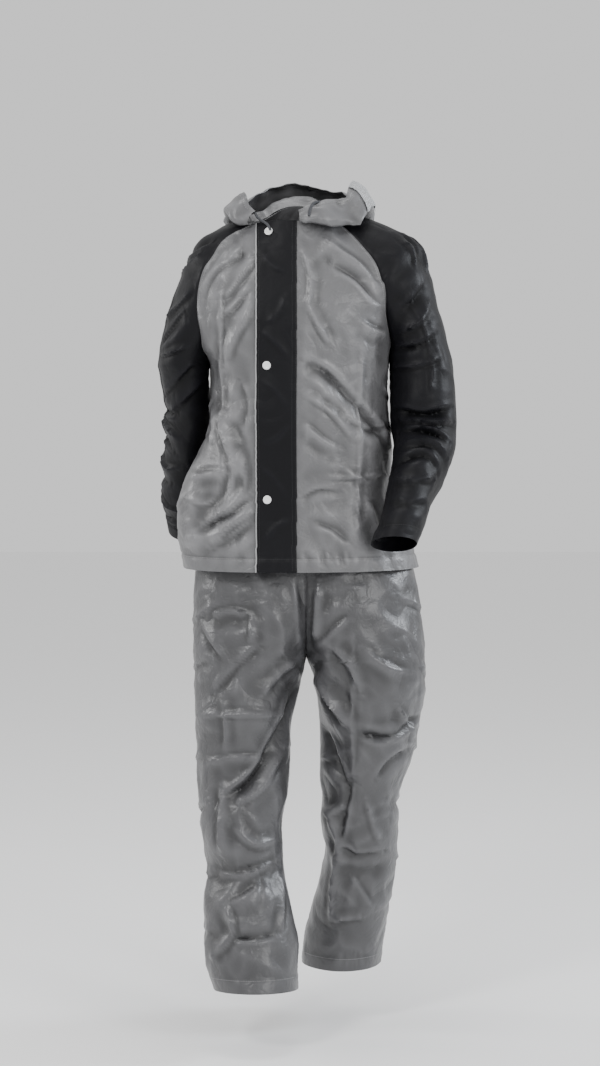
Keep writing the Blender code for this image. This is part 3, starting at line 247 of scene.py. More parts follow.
TROUSER_FOLDS = (
    (-0.180, -0.735, -0.090, -0.718, 0.018, -0.006, -1),
    (-0.190, -0.905, -0.020, -0.900, 0.018, 0.006, -1),
    (-0.152, -1.050, -0.058, -0.960, 0.022, -0.010, -1),
    (-0.058, -0.960, -0.015, -0.850, 0.020, -0.008, -1),
    (-0.148, -1.030, -0.142, -1.140, 0.018, 0.009, -1),
    (-0.170, -1.190, -0.045, -1.165, 0.020, -0.010, -1),
    (-0.139, -1.245, -0.075, -1.205, 0.018, 0.007, -1),
    (0.024, -0.842, 0.084, -0.938, 0.020, 0.010, -1),
    (0.030, -0.935, 0.075, -1.060, 0.020, -0.010, -1),
    (0.084, -0.945, 0.205, -0.905, 0.018, -0.008, -1),
    (0.040, -1.085, 0.067, -1.180, 0.018, 0.009, -1),
    (0.067, -1.180, 0.057, -1.290, 0.018, 0.008, -1),
    (0.075, -1.190, 0.140, -1.200, 0.018, -0.008, -1),
    (-0.180, -0.850, -0.040, -0.870, 0.020, -0.008, 1),
    (0.030, -0.860, 0.190, -0.840, 0.020, -0.008, 1),
    (-0.160, -1.080, -0.060, -1.120, 0.022, -0.010, 1),
    (0.040, -1.120, 0.150, -1.070, 0.022, -0.010, 1),
    (-0.110, -1.160, -0.100, -1.320, 0.018, 0.007, 1),
    (0.090, -1.160, 0.080, -1.330, 0.018, 0.007, 1),
)

# The sleeves' largest folds: the key where one is deepest, how many keys its ends
# climb, the angle it faces (0 outer, 90 front, 180 inner, -90 back), half its reach
# round the sleeve in degrees, its half width in keys, and its height.
RING_FOLD_KEYS = ("key", "climb", "angle", "reach", "width", "height")
RIGHT_SLEEVE_FOLDS = (
    (3.2, 0.6, 20, 70, 0.50, -0.004),
    (10.6, 0.8, 0, 90, 0.40, -0.006),
    (11.6, -0.7, 40, 80, 0.38, -0.006),
    (12.8, 0.8, 10, 90, 0.38, -0.006),
    (14.2, 0.5, -20, 80, 0.40, -0.005),
)
LEFT_SLEEVE_FOLDS = (
    (4.0, 0.8, 50, 60, 0.50, -0.005),
    (6.0, -1.2, 70, 60, 0.50, -0.005),
    (11.8, 0.8, 90, 90, 0.38, -0.007),
    (12.8, -0.6, 70, 90, 0.38, -0.008),
    (13.8, 0.7, 80, 90, 0.38, -0.007),
    (15.2, 0.6, 30, 80, 0.40, -0.005),
)

# Press studs down the flap: name, where they lie on its front, and their size.
SNAP_RADIUS = 0.0075
SNAP_HEIGHT = 0.0026
SNAPS = (
    ("snap_top", -0.0640, -0.038),
    ("snap_middle", -0.0700, -0.273),
    ("snap_bottom", -0.0680, -0.512),
)

# The two free ends of the hood's drawcord: places on its route, exit first.
CORD_DIAMETER = 0.0048
CORD_RIGHT = (
    (-0.0898, -0.0675, -0.0028),
    (-0.0862, -0.0735, -0.0095),
    (-0.0800, -0.0830, -0.0155),
    (-0.0725, -0.0915, -0.0205),
    (-0.0660, -0.1035, -0.0262),
    (-0.0618, -0.1135, -0.0345),
)
CORD_LEFT = (
    (0.0290, -0.0855, 0.0159),
    (0.0220, -0.0905, 0.0154),
    (0.0150, -0.0985, 0.0125),
    (0.0090, -0.1090, 0.0030),
    (0.0071, -0.1165, -0.0105),
)

# Creases drawn over the photo: half width and height in millimetres, and the
# pixels that each line runs through, across and down
JACKET_LINES = (
    (10, 5, ((199, 295), (219, 262), (231, 252))),
    (8, -4, ((203, 315), (213, 279), (238, 259), (243, 248))),
    (8, 4, ((224, 301), (241, 279), (258, 256))),
    (8, -3.5, ((224, 319), (238, 307), (256, 284))),
    (9, 4, ((226, 371), (235, 340), (247, 319), (255, 298))),
    (4, 2.2, ((223, 276), (223, 350), (224, 420))),
    (9, 6, ((223, 413), (227, 436), (235, 466), (232, 482), (225, 513))),
    (10, 5, ((242, 442), (245, 471), (245, 487), (237, 501), (224, 513), (201, 524))),
    (8, -5, ((256, 493), (236, 512), (216, 522), (196, 538))),
    (8, 5, ((255, 508), (229, 528), (211, 547))),
    (7, -4, ((255, 522), (237, 536), (216, 550))),
    (8, 4, ((188, 478), (211, 474), (229, 473))),
    (6, 3, ((206, 395), (214, 420), (212, 450))),
    (7, -3, ((240, 380), (247, 405), (243, 430))),
    (6, 3, ((190, 500), (204, 505), (220, 498))),
    (9, 5, ((325, 241), (342, 255), (363, 269), (384, 295))),
    (9, -4, ((328, 262), (356, 279), (373, 298), (384, 304))),
    (9, 5, ((360, 322), (372, 330), (389, 333))),
    (4, 2.4, ((360, 337), (357, 420), (355, 563))),
    (10, -6, ((300, 359), (325, 371), (348, 395), (356, 404), (378, 434), (386, 456))),
    (4, 1.6, ((321, 477), (355, 478), (388, 476))),
    (5, 2.5, ((341, 467), (355, 477), (367, 484))),
    (7, 3, ((305, 300), (320, 330), (330, 345))),
    (8, 3, ((300, 420), (322, 440), (340, 450))),
    (8, -3, ((310, 520), (335, 530), (350, 545))),
    (8, 4, ((365, 500), (375, 525), (380, 555))),
    (7, 2.5, ((302, 250), (310, 280), (306, 310))),
    (7, -3, ((345, 420), (368, 432), (388, 425))),
    (6, 3, ((305, 395), (330, 412), (352, 440))),
    (6, -2.5, ((300, 500), (318, 490), (340, 492))),
    (4, 2.2, ((303, 553), (304, 567))),
    (4, 2.6, ((311, 549), (311, 567))),
    (4, 2.0, ((319, 555), (318, 567))),
    (4, 2.6, ((328, 550), (327, 567))),
    (4, 2.2, ((337, 556), (337, 567))),
    (4, 2.4, ((346, 551), (347, 567))),
)
TROUSER_LINES = (
    (10, -7, ((300, 575), (303, 610), (308, 650))),
    (8, 4, ((210, 611), (230, 606), (251, 608))),
    (7, 4, ((251, 608), (252, 622), (250, 638))),
    (8, -4, ((200, 623), (213, 643), (223, 653))),
    (5, 3, ((200, 712), (250, 708), (297, 712))),
    (11, -8, ((221, 795), (250, 775), (273, 744), (302, 676))),
    (8, 5, ((235, 800), (262, 782), (287, 745))),
    (8, 5, ((313, 640), (315, 610), (318, 575))),
    (9, -4, ((313, 640), (330, 622), (349, 606))),
    (5, 2.6, ((352, 613), (353, 700), (352, 792))),
    (9, 7, ((318, 676), (335, 700), (351, 727))),
    (9, -7, ((321, 727), (332, 755), (346, 789))),
    (8, -6, ((351, 729), (381, 736), (404, 729), (424, 711))),
    (6, 4, ((396, 700), (410, 722), (418, 745))),
    (8, 6, ((223, 780), (224, 815), (224, 853))),
    (9, 5, ((211, 875), (244, 873), (282, 860))),
    (7, -4, ((228, 904), (245, 893), (260, 882))),
    (8, 5, ((228, 904), (235, 925), (233, 940), (215, 962))),
    (8, -4, ((233, 940), (255, 940), (278, 937))),
    (6, 4, ((282, 871), (283, 905), (282, 940))),
    (7, 5, ((323, 802), (335, 830), (341, 853), (342, 871))),
    (7, -5, ((350, 780), (345, 815), (341, 853))),
    (8, 5, ((341, 853), (335, 908), (331, 950))),
    (8, -5, ((342, 851), (355, 866), (384, 862))),
    (7, 4, ((333, 946), (348, 942), (364, 940))),
    (9, -4, ((215, 690), (240, 660), (262, 640))),
    (8, 4, ((262, 690), (280, 670), (298, 655))),
    (8, 3, ((205, 760), (235, 750), (265, 752))),
    (9, 4, ((232, 820), (255, 840), (280, 838))),
    (9, 4, ((360, 640), (385, 660), (410, 668))),
    (8, 4, ((330, 640), (345, 655), (362, 690))),
    (8, -4, ((375, 780), (390, 760), (408, 750))),
    (7, 3, ((365, 800), (372, 830), (378, 850))),
    (7, 3, ((350, 890), (362, 910), (372, 930))),
    (6, 3, ((225, 690), (228, 720), (226, 750))),
)

# The photo's scale: the pixel column of the middle, its place, pixels to a metre across the
# jacket and the trousers, and the jacket's pixel row, height and metres to a pixel
PICTURE_MIDDLE = 300
MIDDLE_PLACE = -0.009
JACKET_PIXELS = 555
TROUSER_PIXELS = 548
JACKET_ROW = 218
JACKET_ROW_Z = -0.014
JACKET_ROW_HEIGHT = 0.001775

# Pixel rows down the trousers, and their heights: the legs stand at different depths
TROUSER_ROWS = (570, 576, 648, 720, 792, 840, 900, 948, 996)
TROUSER_ROWS_Z = (-0.647, -0.659, -0.791, -0.920, -1.044, -1.127, -1.220, -1.300, -1.390)


def jacket_place(across, down):
    """Metres across and up of a pixel on the jacket's front."""
    x = (across - PICTURE_MIDDLE) / JACKET_PIXELS + MIDDLE_PLACE
    return x, JACKET_ROW_Z - JACKET_ROW_HEIGHT * (down - JACKET_ROW)


def trouser_place(across, down):
    """Metres across and up of a pixel on the trousers' front."""
    x = (across - PICTURE_MIDDLE) / TROUSER_PIXELS + MIDDLE_PLACE
    return x, float(np.interp(down, TROUSER_ROWS, TROUSER_ROWS_Z))


def picture_creases(lines, place):
    """Rows of a crease table for the front, from lines drawn over the photo."""
    return tuple(
        (width / 1000, height / 1000, -1, tuple(place(*pixel) for pixel in route))
        for width, height, route in lines
    )


# Creases: half width and height, the side they are seen from, -1 the front and +1 the
# back, and places on their line across and up.
JACKET_CREASES = picture_creases(JACKET_LINES, jacket_place) + (
    (0.0100, 0.0050, 1, ((-0.150, -0.110), (-0.120, -0.180), (-0.085, -0.245))),
    (0.0090, -0.0040, 1, ((-0.165, -0.150), (-0.130, -0.215), (-0.110, -0.280))),
    (0.0100, 0.0050, 1, ((0.120, -0.105), (0.090, -0.175), (0.055, -0.250))),
    (0.0090, -0.0040, 1, ((0.135, -0.150), (0.105, -0.220), (0.085, -0.270))),
    (0.0100, -0.0060, 1, ((-0.165, -0.330), (-0.110, -0.365), (-0.055, -0.425))),
    (0.0090, 0.0050, 1, ((-0.160, -0.375), (-0.105, -0.420), (-0.060, -0.480))),
    (0.0100, -0.0060, 1, ((0.135, -0.320), (0.085, -0.365), (0.030, -0.430))),
    (0.0080, 0.0050, 1, ((0.130, -0.370), (0.080, -0.420), (0.045, -0.490))),
    (0.0040, 0.0022, 1, ((-0.018, -0.300), (-0.016, -0.450), (-0.014, -0.625))),
    (0.0040, 0.0018, 1, ((-0.170, -0.470), (-0.020, -0.474), (0.130, -0.470))),
    (0.0090, 0.0060, 1, ((-0.150, -0.560), (-0.100, -0.535), (-0.055, -0.500))),
    (0.0080, -0.0040, 1, ((-0.140, -0.600), (-0.090, -0.575), (-0.030, -0.560))),
    (0.0090, 0.0050, 1, ((0.150, -0.580), (0.095, -0.550), (0.050, -0.510))),
    (0.0080, 0.0040, 1, ((0.070, -0.590), (0.075, -0.560), (0.060, -0.520))),
    (0.0070, 0.0030, 1, ((-0.060, -0.200), (-0.030, -0.260), (-0.035, -0.330))),
    (0.0070, -0.0030, 1, ((0.010, -0.180), (0.020, -0.250), (0.000, -0.310))),
)
TROUSER_CREASES = picture_creases(TROUSER_LINES, trouser_place) + (
    (0.0100, -0.0070, 1, ((0.002, -0.660), (0.004, -0.720), (0.002, -0.790))),
    (0.0090, 0.0050, 1, ((-0.150, -0.690), (-0.090, -0.740), (-0.030, -0.800))),
    (0.0090, 0.0050, 1, ((0.150, -0.690), (0.095, -0.745), (0.035, -0.800))),
    (0.0100, -0.0070, 1, ((-0.175, -0.850), (-0.110, -0.872), (-0.045, -0.862))),
    (0.0080, 0.0050, 1, ((-0.170, -0.885), (-0.105, -0.905), (-0.050, -0.890))),
    (0.0100, -0.0070, 1, ((0.190, -0.845), (0.110, -0.868), (0.035, -0.858))),
    (0.0080, 0.0050, 1, ((0.185, -0.880), (0.115, -0.902), (0.045, -0.885))),
    (0.0100, -0.0080, 1, ((-0.165, -1.070), (-0.110, -1.105), (-0.055, -1.115))),
    (0.0090, 0.0060, 1, ((-0.160, -1.030), (-0.105, -1.060), (-0.060, -1.075))),
    (0.0090, 0.0060, 1, ((-0.150, -1.125), (-0.100, -1.150), (-0.060, -1.155))),
    (0.0100, -0.0080, 1, ((0.045, -1.130), (0.100, -1.105), (0.150, -1.070))),
    (0.0090, 0.0060, 1, ((0.045, -1.085), (0.100, -1.060), (0.155, -1.035))),
    (0.0080, 0.0050, 1, ((0.050, -1.170), (0.095, -1.150), (0.135, -1.120))),
    (0.0050, 0.0025, 1, ((-0.110, -0.940), (-0.112, -1.100), (-0.104, -1.340))),
    (0.0050, 0.0025, 1, ((0.100, -0.940), (0.102, -1.100), (0.080, -1.340))),
    (0.0080, 0.0050, 1, ((-0.140, -1.200), (-0.110, -1.240), (-0.060, -1.260))),
    (0.0080, -0.0050, 1, ((-0.150, -1.290), (-0.105, -1.300), (-0.050, -1.280))),
    (0.0080, 0.0050, 1, ((0.045, -1.230), (0.090, -1.250), (0.130, -1.220))),
    (0.0080, -0.0050, 1, ((0.040, -1.310), (0.080, -1.300), (0.125, -1.320))),
)

# Creases seen from the wearer's right (-1) or left (+1), with places in depth and height.
JACKET_SIDE_CREASES = (
    (0.0090, 0.0050, -1, ((-0.060, -0.330), (0.000, -0.360), (0.060, -0.350))),
    (0.0090, -0.0050, -1, ((-0.070, -0.390), (-0.010, -0.410), (0.060, -0.440))),
    (0.0090, 0.0060, -1, ((-0.080, -0.500), (-0.020, -0.540), (0.050, -0.545))),
    (0.0080, -0.0040, -1, ((-0.060, -0.580), (0.000, -0.570), (0.060, -0.600))),
    (0.0090, 0.0050, 1, ((-0.070, -0.310), (-0.010, -0.335), (0.060, -0.360))),
    (0.0090, -0.0050, 1, ((-0.060, -0.370), (0.000, -0.405), (0.070, -0.400))),
    (0.0090, 0.0050, 1, ((-0.070, -0.470), (-0.010, -0.490), (0.060, -0.530))),
    (0.0080, -0.0040, 1, ((-0.060, -0.560), (0.000, -0.590), (0.060, -0.580))),
)
TROUSER_SIDE_CREASES = (
    (0.0090, 0.0060, -1, ((-0.110, -0.700), (-0.030, -0.740), (0.060, -0.735))),
    (0.0100, -0.0060, -1, ((-0.120, -0.800), (-0.040, -0.830), (0.050, -0.860))),
    (0.0090, 0.0060, -1, ((-0.110, -0.960), (-0.050, -0.990), (0.010, -0.985))),
    (0.0100, -0.0080, -1, ((-0.150, -1.060), (-0.090, -1.080), (-0.020, -1.110))),
    (0.0080, 0.0050, -1, ((-0.160, -1.170), (-0.110, -1.190), (-0.040, -1.180))),
    (0.0080, -0.0050, -1, ((-0.190, -1.280), (-0.140, -1.290), (-0.070, -1.270))),
    (0.0090, 0.0060, 1, ((-0.100, -0.690), (-0.020, -0.720), (0.070, -0.750))),
    (0.0100, -0.0060, 1, ((-0.090, -0.810), (-0.020, -0.850), (0.060, -0.850))),
    (0.0090, 0.0060, 1, ((-0.080, -0.960), (0.000, -0.975), (0.060, -1.010))),
    (0.0100, -0.0080, 1, ((-0.060, -1.060), (0.010, -1.080), (0.080, -1.065))),
    (0.0080, 0.0050, 1, ((-0.030, -1.160), (0.040, -1.190), (0.100, -1.185))),
    (0.0080, -0.0050, 1, ((0.000, -1.280), (0.060, -1.270), (0.130, -1.300))),
)

# Creases of the sleeves: half width and height, and places by key and angle.
RIGHT_SLEEVE_CREASES = (
    (0.0090, -0.0050, ((1.5, 40), (2.6, 15), (3.2, -30))),
    (0.0080, 0.0040, ((2.2, 45), (3.3, 25), (4.0, -15))),
    (0.0090, 0.0050, ((4.2, 60), (5.4, 35), (6.0, 0))),
    (0.0080, -0.0040, ((5.2, 62), (6.4, 40), (7.2, 10))),
    (0.0090, 0.0050, ((7.0, 95), (7.8, 60), (8.2, 20))),
    (0.0090, -0.0060, ((8.6, 130), (9.6, 80), (10.4, 25))),
    (0.0080, 0.0060, ((9.4, 150), (10.3, 90), (11.2, 40))),
    (0.0090, -0.0070, ((10.9, -60), (11.2, 0), (11.0, 70))),
    (0.0070, 0.0050, ((11.6, -40), (11.7, 10), (12.1, 80))),
    (0.0090, -0.0070, ((12.6, -70), (12.4, -10), (12.7, 60))),
    (0.0080, 0.0050, ((13.2, -30), (13.5, 30), (13.1, 100))),
    (0.0090, -0.0060, ((14.2, -90), (14.5, -20), (14.1, 60))),
    (0.0070, 0.0040, ((15.0, 0), (15.3, 60), (15.0, 120))),
    (0.0070, -0.0040, ((15.9, -60), (16.1, 10), (15.8, 70))),
    (0.0050, 0.0025, ((3.5, 0), (9.0, 5), (15.5, 0))),
    (0.0090, 0.0050, ((4.0, -60), (5.5, -50), (6.5, -30))),
    (0.0090, -0.0060, ((9.2, -150), (10.0, -100), (10.6, -60))),
    (0.0080, 0.0050, ((13.4, -150), (13.9, -100), (13.6, -50))),
)
LEFT_SLEEVE_CREASES = (
    (0.0070, 0.0050, ((2.6, 40), (3.4, 38), (4.2, 45))),
    (0.0070, -0.0040, ((2.4, 22), (3.2, 20), (3.8, 24))),
    (0.0080, 0.0050, ((2.6, 5), (3.8, 8), (5.0, 20))),
    (0.0090, -0.0050, ((6.4, 105), (6.0, 70), (5.2, 35))),
    (0.0090, 0.0060, ((7.4, 125), (7.0, 80), (6.2, 40))),
    (0.0090, -0.0060, ((8.4, 150), (8.2, 95), (7.6, 45))),
    (0.0080, 0.0050, ((9.4, 150), (9.3, 100), (8.8, 50))),
    (0.0090, -0.0080, ((11.4, 150), (11.8, 95), (11.3, 30))),
    (0.0080, 0.0070, ((12.0, 140), (12.3, 80), (12.0, 20))),
    (0.0090, -0.0080, ((12.7, 150), (12.9, 90), (13.3, 30))),
    (0.0080, 0.0070, ((13.5, 140), (13.5, 80), (13.9, 20))),
    (0.0090, -0.0070, ((14.3, 150), (14.1, 90), (14.6, 30))),
    (0.0070, 0.0050, ((15.0, 140), (15.2, 90), (14.9, 30))),
    (0.0070, -0.0040, ((15.8, 130), (16.0, 80), (15.7, 20))),
    (0.0050, 0.0025, ((5.0, 70), (9.0, 75), (11.0, 80))),
    (0.0090, 0.0050, ((4.0, -60), (5.5, -50), (6.5, -30))),
    (0.0090, -0.0060, ((9.2, -150), (10.0, -100), (10.6, -60))),
    (0.0080, 0.0050, ((12.4, -120), (12.9, -70), (12.6, -20))),
    (0.0090, -0.0060, ((13.8, -120), (14.2, -60), (13.9, -10))),
)

# Fine grid of the cloth, and the places of the columns next to a seam
RAGLAN_ROWS = 64
BODY_ROWS = 88
SLEEVE_ROWS = 84
SLEEVE_COLUMNS = 92
HIP_ROWS = 78
LEG_ROWS = 130
LEG_COLUMNS = 62
BACK_COLUMNS = 118
RIGHT_FRONT_COLUMNS = (11, 34)
LEFT_FRONT_COLUMNS = (5, 52)
SEAM_STEPS = (0.0010, 0.0022, 0.0038)
HOOD_COLUMNS = 150
HOOD_ROWS = 64
VISOR_ALONG = (0.655, 0.805)
VISOR_PART = (0.66, 1.0)
FILM_WALL = 0.0009

# Looks of the seams and hems
SEAM_DEPTH = 0.0009
SEAM_WIDTH = 0.0026
PUCKER_HEIGHT = 0.0005
HEM_RAISE = 0.0012
THREAD_RADIUS = 0.00032
STITCH_PITCH = 0.0040
STITCH_LENGTH = 0.0029

# How much of the tables' crease height shows, at the front and back and at the sides
CREASE_GAIN = 1.25
SIDE_GAIN = 0.50

# Where the body and the left sleeve press together: height, reach, and the swell of each
PRESS_Z = -0.425
PRESS_REACH = 0.062
BODY_SWELL = 0.0100
SLEEVE_SWELL = 0.0040

# Soft creases on the flap, and the pale edge of its free side
FLAP_CREASES = (
    (0.0080, 0.0024, -1, ((-0.078, -0.075), (-0.060, -0.098), (-0.034, -0.112))),
    (0.0070, 0.0020, -1, ((-0.030, -0.150), (-0.048, -0.185), (-0.072, -0.205))),
    (0.0080, 0.0026, -1, ((-0.080, -0.215), (-0.056, -0.232), (-0.030, -0.262))),
    (0.0070, 0.0018, -1, ((-0.078, -0.300), (-0.052, -0.318), (-0.028, -0.352))),
    (0.0080, 0.0024, -1, ((-0.026, -0.375), (-0.050, -0.402), (-0.080, -0.415))),
    (0.0070, 0.0020, -1, ((-0.080, -0.455), (-0.058, -0.470), (-0.034, -0.505))),
    (0.0080, 0.0024, -1, ((-0.028, -0.545), (-0.050, -0.560), (-0.078, -0.590))),
)
EDGE_WIDTH = 0.0026

# Main materials
SHELL_GREY = (0.112, 0.112, 0.116)
# The trousers are the jacket's grey cloth painted darker: painted shade where less light falls.
TROUSER_SHADED_GREY = (0.055, 0.055, 0.058)
SHELL_BLACK = (0.0035, 0.0035, 0.0048)
THREAD_GREY = (0.300, 0.300, 0.305)
THREAD_BLACK = (0.020, 0.020, 0.022)


def column(table, keys, name):
    """One named column of a table, as an array."""
    return np.array([row[keys.index(name)] for row in table], dtype=float)


def through(keys, values, at):
    """Smooth curve through values at increasing keys, read at any place."""
    keys = np.asarray(keys, dtype=float)
    values = np.asarray(values, dtype=float)
    at = np.clip(np.asarray(at, dtype=float), keys[0], keys[-1])
    slopes = np.gradient(values, keys)
    low = np.clip(np.searchsorted(keys, at, side="right") - 1, 0, len(keys) - 2)
    step = keys[low + 1] - keys[low]
    part = (at - keys[low]) / step
    start = (1 + 2 * part) * (1 - part) ** 2 * values[low]
    start_slope = part * (1 - part) ** 2 * step * slopes[low]
    end = part ** 2 * (3 - 2 * part) * values[low + 1]
    end_slope = part ** 2 * (part - 1) * step * slopes[low + 1]
    return start + start_slope + end + end_slope


def read(table, keys, name, at):
    """A named column of a table as a smooth curve over the table's first column."""
    return through(column(table, keys, keys[0]), column(table, keys, name), at)


def ease(value):
    """Smooth step from 0 to 1."""
    value = np.clip(value, 0.0, 1.0)
    return value * value * (3 - 2 * value)


def sleeve_ring(table, side, keys, turn):
    """Points of a sleeve. Each ring is an ellipse about its own centre, which lies one
    half width inside its outer line, in a plane that is tilted and then swung.
    turn runs from -1 at the back seam over 0 at the outer line to 1 at the front seam."""
    out = read(table, SLEEVE_KEYS, "out", keys)
    up = read(table, SLEEVE_KEYS, "up", keys)
    depth_place = read(table, SLEEVE_KEYS, "y", keys)
    tilt = np.radians(read(table, SLEEVE_KEYS, "tilt", keys))
    swing = np.radians(read(table, SLEEVE_KEYS, "swing", keys))
    across = read(table, SLEEVE_KEYS, "across", keys)
    depth = read(table, SLEEVE_KEYS, "depth", keys)
    front = np.radians(np.minimum(read(table, SLEEVE_KEYS, "front", keys), 180.0))
    back = np.radians(np.minimum(read(table, SLEEVE_KEYS, "back", keys), 180.0))
    front = np.where(keys >= UNDERARM_KEY, math.pi, front)
    back = np.where(keys >= UNDERARM_KEY, math.pi, back)
    angle = np.where(turn > 0, turn * front, turn * back)
    outward = np.stack([side * np.cos(tilt), 0 * tilt, np.sin(tilt)], axis=-1)
    along = np.stack([side * np.sin(tilt), 0 * tilt, -np.cos(tilt)], axis=-1)
    forward = np.stack([0 * tilt, -np.ones_like(tilt), 0 * tilt], axis=-1)
    forward = forward * np.cos(swing)[..., None] - along * np.sin(swing)[..., None]
    outer_line = np.stack([side * out, depth_place, up], axis=-1)
    centre = outer_line - outward * across[..., None]
    sideways = outward * (across * np.cos(angle))[..., None]
    return centre + sideways + forward * (depth * np.sin(angle))[..., None]


def sleeve_points(table, side, row_keys, turns):
    """Grid of a sleeve, a row for each key and a column for each turn."""
    keys, turn = np.meshgrid(row_keys, turns, indexing="ij")
    return sleeve_ring(table, side, keys, turn)


def side_edge(table, side, row_keys, body_z, end):
    """The edge that a body panel shares: the raglan seam at the front (end 1) or back
    (end -1) down to the underarm, then the side seam down to the hem."""
    raglan = sleeve_ring(table, side, row_keys, np.full_like(row_keys, end))
    name = "right" if side < 0 else "left"
    side_x = side * read(JACKET_SIDES, SIDE_KEYS, name, body_z)
    side_y = read(JACKET_SIDES, SIDE_KEYS, name + "_y", body_z)
    seam = np.stack([side_x, side_y, body_z], axis=-1)
    return np.vstack([raglan, seam])


def body_row(centre, edge, fullness, roundness, part):
    """A row of a body panel: a cubic from the centre line, where it runs level across,
    to the edge, where it runs in depth by its fullness. roundness is how far the row
    keeps each of those ways, and part goes from 0 to 1."""
    across = edge[0] - centre[0]
    depth = centre[1] - edge[1]
    first = centre + np.array([roundness * across, 0.0, 0.0])
    second = edge + np.array([-(1 - fullness) * 0.42 * across, roundness * depth * fullness, 0.0])
    part = part[:, None]
    rest = 1 - part
    near = rest ** 3 * centre + 3 * rest ** 2 * part * first
    far = 3 * rest * part ** 2 * second + part ** 3 * edge
    return near + far


def leg_ring(side, heights, turn):
    """Points of one half of the trousers. Each row is an ellipse about the leg's centre
    with its own four radii. Above the crotch it is cut off at the middle, where the rise
    seam lies. turn is 0 at the side seam and 1 at the rise seam or inseam at the front,
    and -1 at the back."""
    leg = RIGHT_LEG if side < 0 else LEFT_LEG
    outer_name = "outer_right" if side < 0 else "outer_left"
    above = heights >= CROTCH_Z
    in_hips = np.maximum(heights, CROTCH_Z)
    in_leg = np.minimum(heights, CROTCH_Z)

    def both(hip_name, leg_name):
        hip = read(HIPS, HIP_KEYS, hip_name, in_hips)
        return np.where(above, hip, read(leg, LEG_KEYS, leg_name, in_leg))

    apart = both("apart", "apart")
    outer = both(outer_name, "outer")
    inner = both("inner", "inner")
    place = both("y", "y")
    front = both("front", "front")
    back = both("back", "back")
    slope = np.where(above, 0.0, read(leg, LEG_KEYS, "slope", in_leg))
    cut = np.clip(apart / inner, -1.0, 1.0)
    end = np.where(above, math.pi - np.arccos(cut), math.pi)
    end = np.where(np.abs(heights - CROTCH_Z) < 1e-6, math.pi, end)
    angle = np.abs(turn) * end
    radius = np.where(np.cos(angle) > 0, outer, inner)
    depth = np.where(turn > 0, front, back)
    x = MID_X + side * (apart + radius * np.cos(angle))
    y = place - np.sign(turn) * depth * np.sin(angle)
    z = heights - slope * (y - place)
    return np.stack([x, y, z], axis=-1)


def fold_height(points, normals, folds):
    """How far folds lift each point: a soft ridge along each straight crest, as seen
    from the front, that fades toward its ends and toward the garment's sides."""
    lift = np.zeros(points.shape[:-1])
    for row in folds:
        fold = dict(zip(FOLD_KEYS, row))
        start = np.array([fold["x0"], fold["z0"]])
        run = np.array([fold["x1"], fold["z1"]]) - start
        flat = points[..., [0, 2]] - start
        along = (flat @ run) / (run @ run)
        nearest = np.clip(along, 0, 1)
        gap = np.linalg.norm(flat - nearest[..., None] * run, axis=-1)
        body = np.exp(-0.5 * (gap / fold["width"]) ** 2)
        ends = ease((along + 0.25) / 0.4) * ease((1.25 - along) / 0.4)
        facing = ease(2.0 * fold["side"] * normals[..., 1])
        lift += fold["height"] * body * ends * facing
    return lift


def ring_fold_height(row_keys, angles, folds):
    """How far a sleeve's folds lift each point of its grid."""
    lift = np.zeros(angles.shape)
    for row in folds:
        fold = dict(zip(RING_FOLD_KEYS, row))
        turn = (angles - fold["angle"] + 180) % 360 - 180
        crest = fold["key"] + fold["climb"] * (turn / fold["reach"]) ** 2
        across = np.exp(-0.5 * ((row_keys[:, None] - crest) / fold["width"]) ** 2)
        round_it = ease(1.2 - np.abs(turn) / fold["reach"])
        lift += fold["height"] * across * round_it
    return lift


def near_flap(points):
    """1 away from the flap and 0 under it."""
    past_right = (FLAP_RIGHT_X - points[..., 0]) / 0.02
    past_left = (points[..., 0] - FLAP_LEFT_X) / 0.02
    return ease(np.maximum(past_right, past_left))


def hood_section(along, part):
    """Height over the neck seam and distance out from it, for a place round the neck and
    a place across the hood, 0 at the seam and 1 at the rim: up over the roll, down to the
    pouch's bottom, then up its outer layer to the rim."""
    lift = read(HOOD, HOOD_KEYS, "lift", along)
    reach = read(HOOD, HOOD_KEYS, "reach", along)
    drop = read(HOOD, HOOD_KEYS, "drop", along)
    belly = read(HOOD, HOOD_KEYS, "belly", along)
    rim_out = read(HOOD, HOOD_KEYS, "rim_out", along)
    rim_up = read(HOOD, HOOD_KEYS, "rim_up", along)
    out = (0 * reach, 0.30 * reach, 0.70 * reach, reach, reach + 0.8 * belly,
           reach + belly, 0.5 * (reach + belly) + 0.5 * rim_out, rim_out)
    up = (0 * lift, lift, 0.3 * lift - 0.45 * drop, -drop, -0.85 * drop,
          -0.35 * drop + 0.25 * rim_up, 0.80 * rim_up, rim_up)
    place = np.linspace(0, 1, len(out))
    return through(place, np.array(out), part), through(place, np.array(up), part)


def spaced(count, span, first, last):
    """Places from 0 to 1 across a span in metres, evenly spaced, with three close ones
    next to a seam at the first or the last edge."""
    places = np.linspace(0, 1, count + 1)
    close = np.array(SEAM_STEPS) / span
    if first:
        places = np.concatenate([[0], close, places[places > close[-1] + 0.4 / count]])
    if last:
        places = np.concatenate([places[places < 1 - close[-1] - 0.4 / count], 1 - close[::-1], [1]])
    return places


def body_rows():
    """Sleeve keys of the raglan rows and heights of the rows below the underarm."""
    raglan_keys = np.linspace(0, UNDERARM_KEY, RAGLAN_ROWS + 1)
    body_z = np.linspace(JACKET_SIDES[-1][0], JACKET_HEM_Z, BODY_ROWS + 1)[1:]
    return raglan_keys, body_z


def resample(line, places):
    """The points of a line at places from 0 to 1 of its length."""
    steps = np.linalg.norm(np.diff(line, axis=0), axis=1)
    run = np.append(0, np.cumsum(steps))
    return np.stack([np.interp(places * run[-1], run, line[:, axis]) for axis in range(3)], axis=-1)


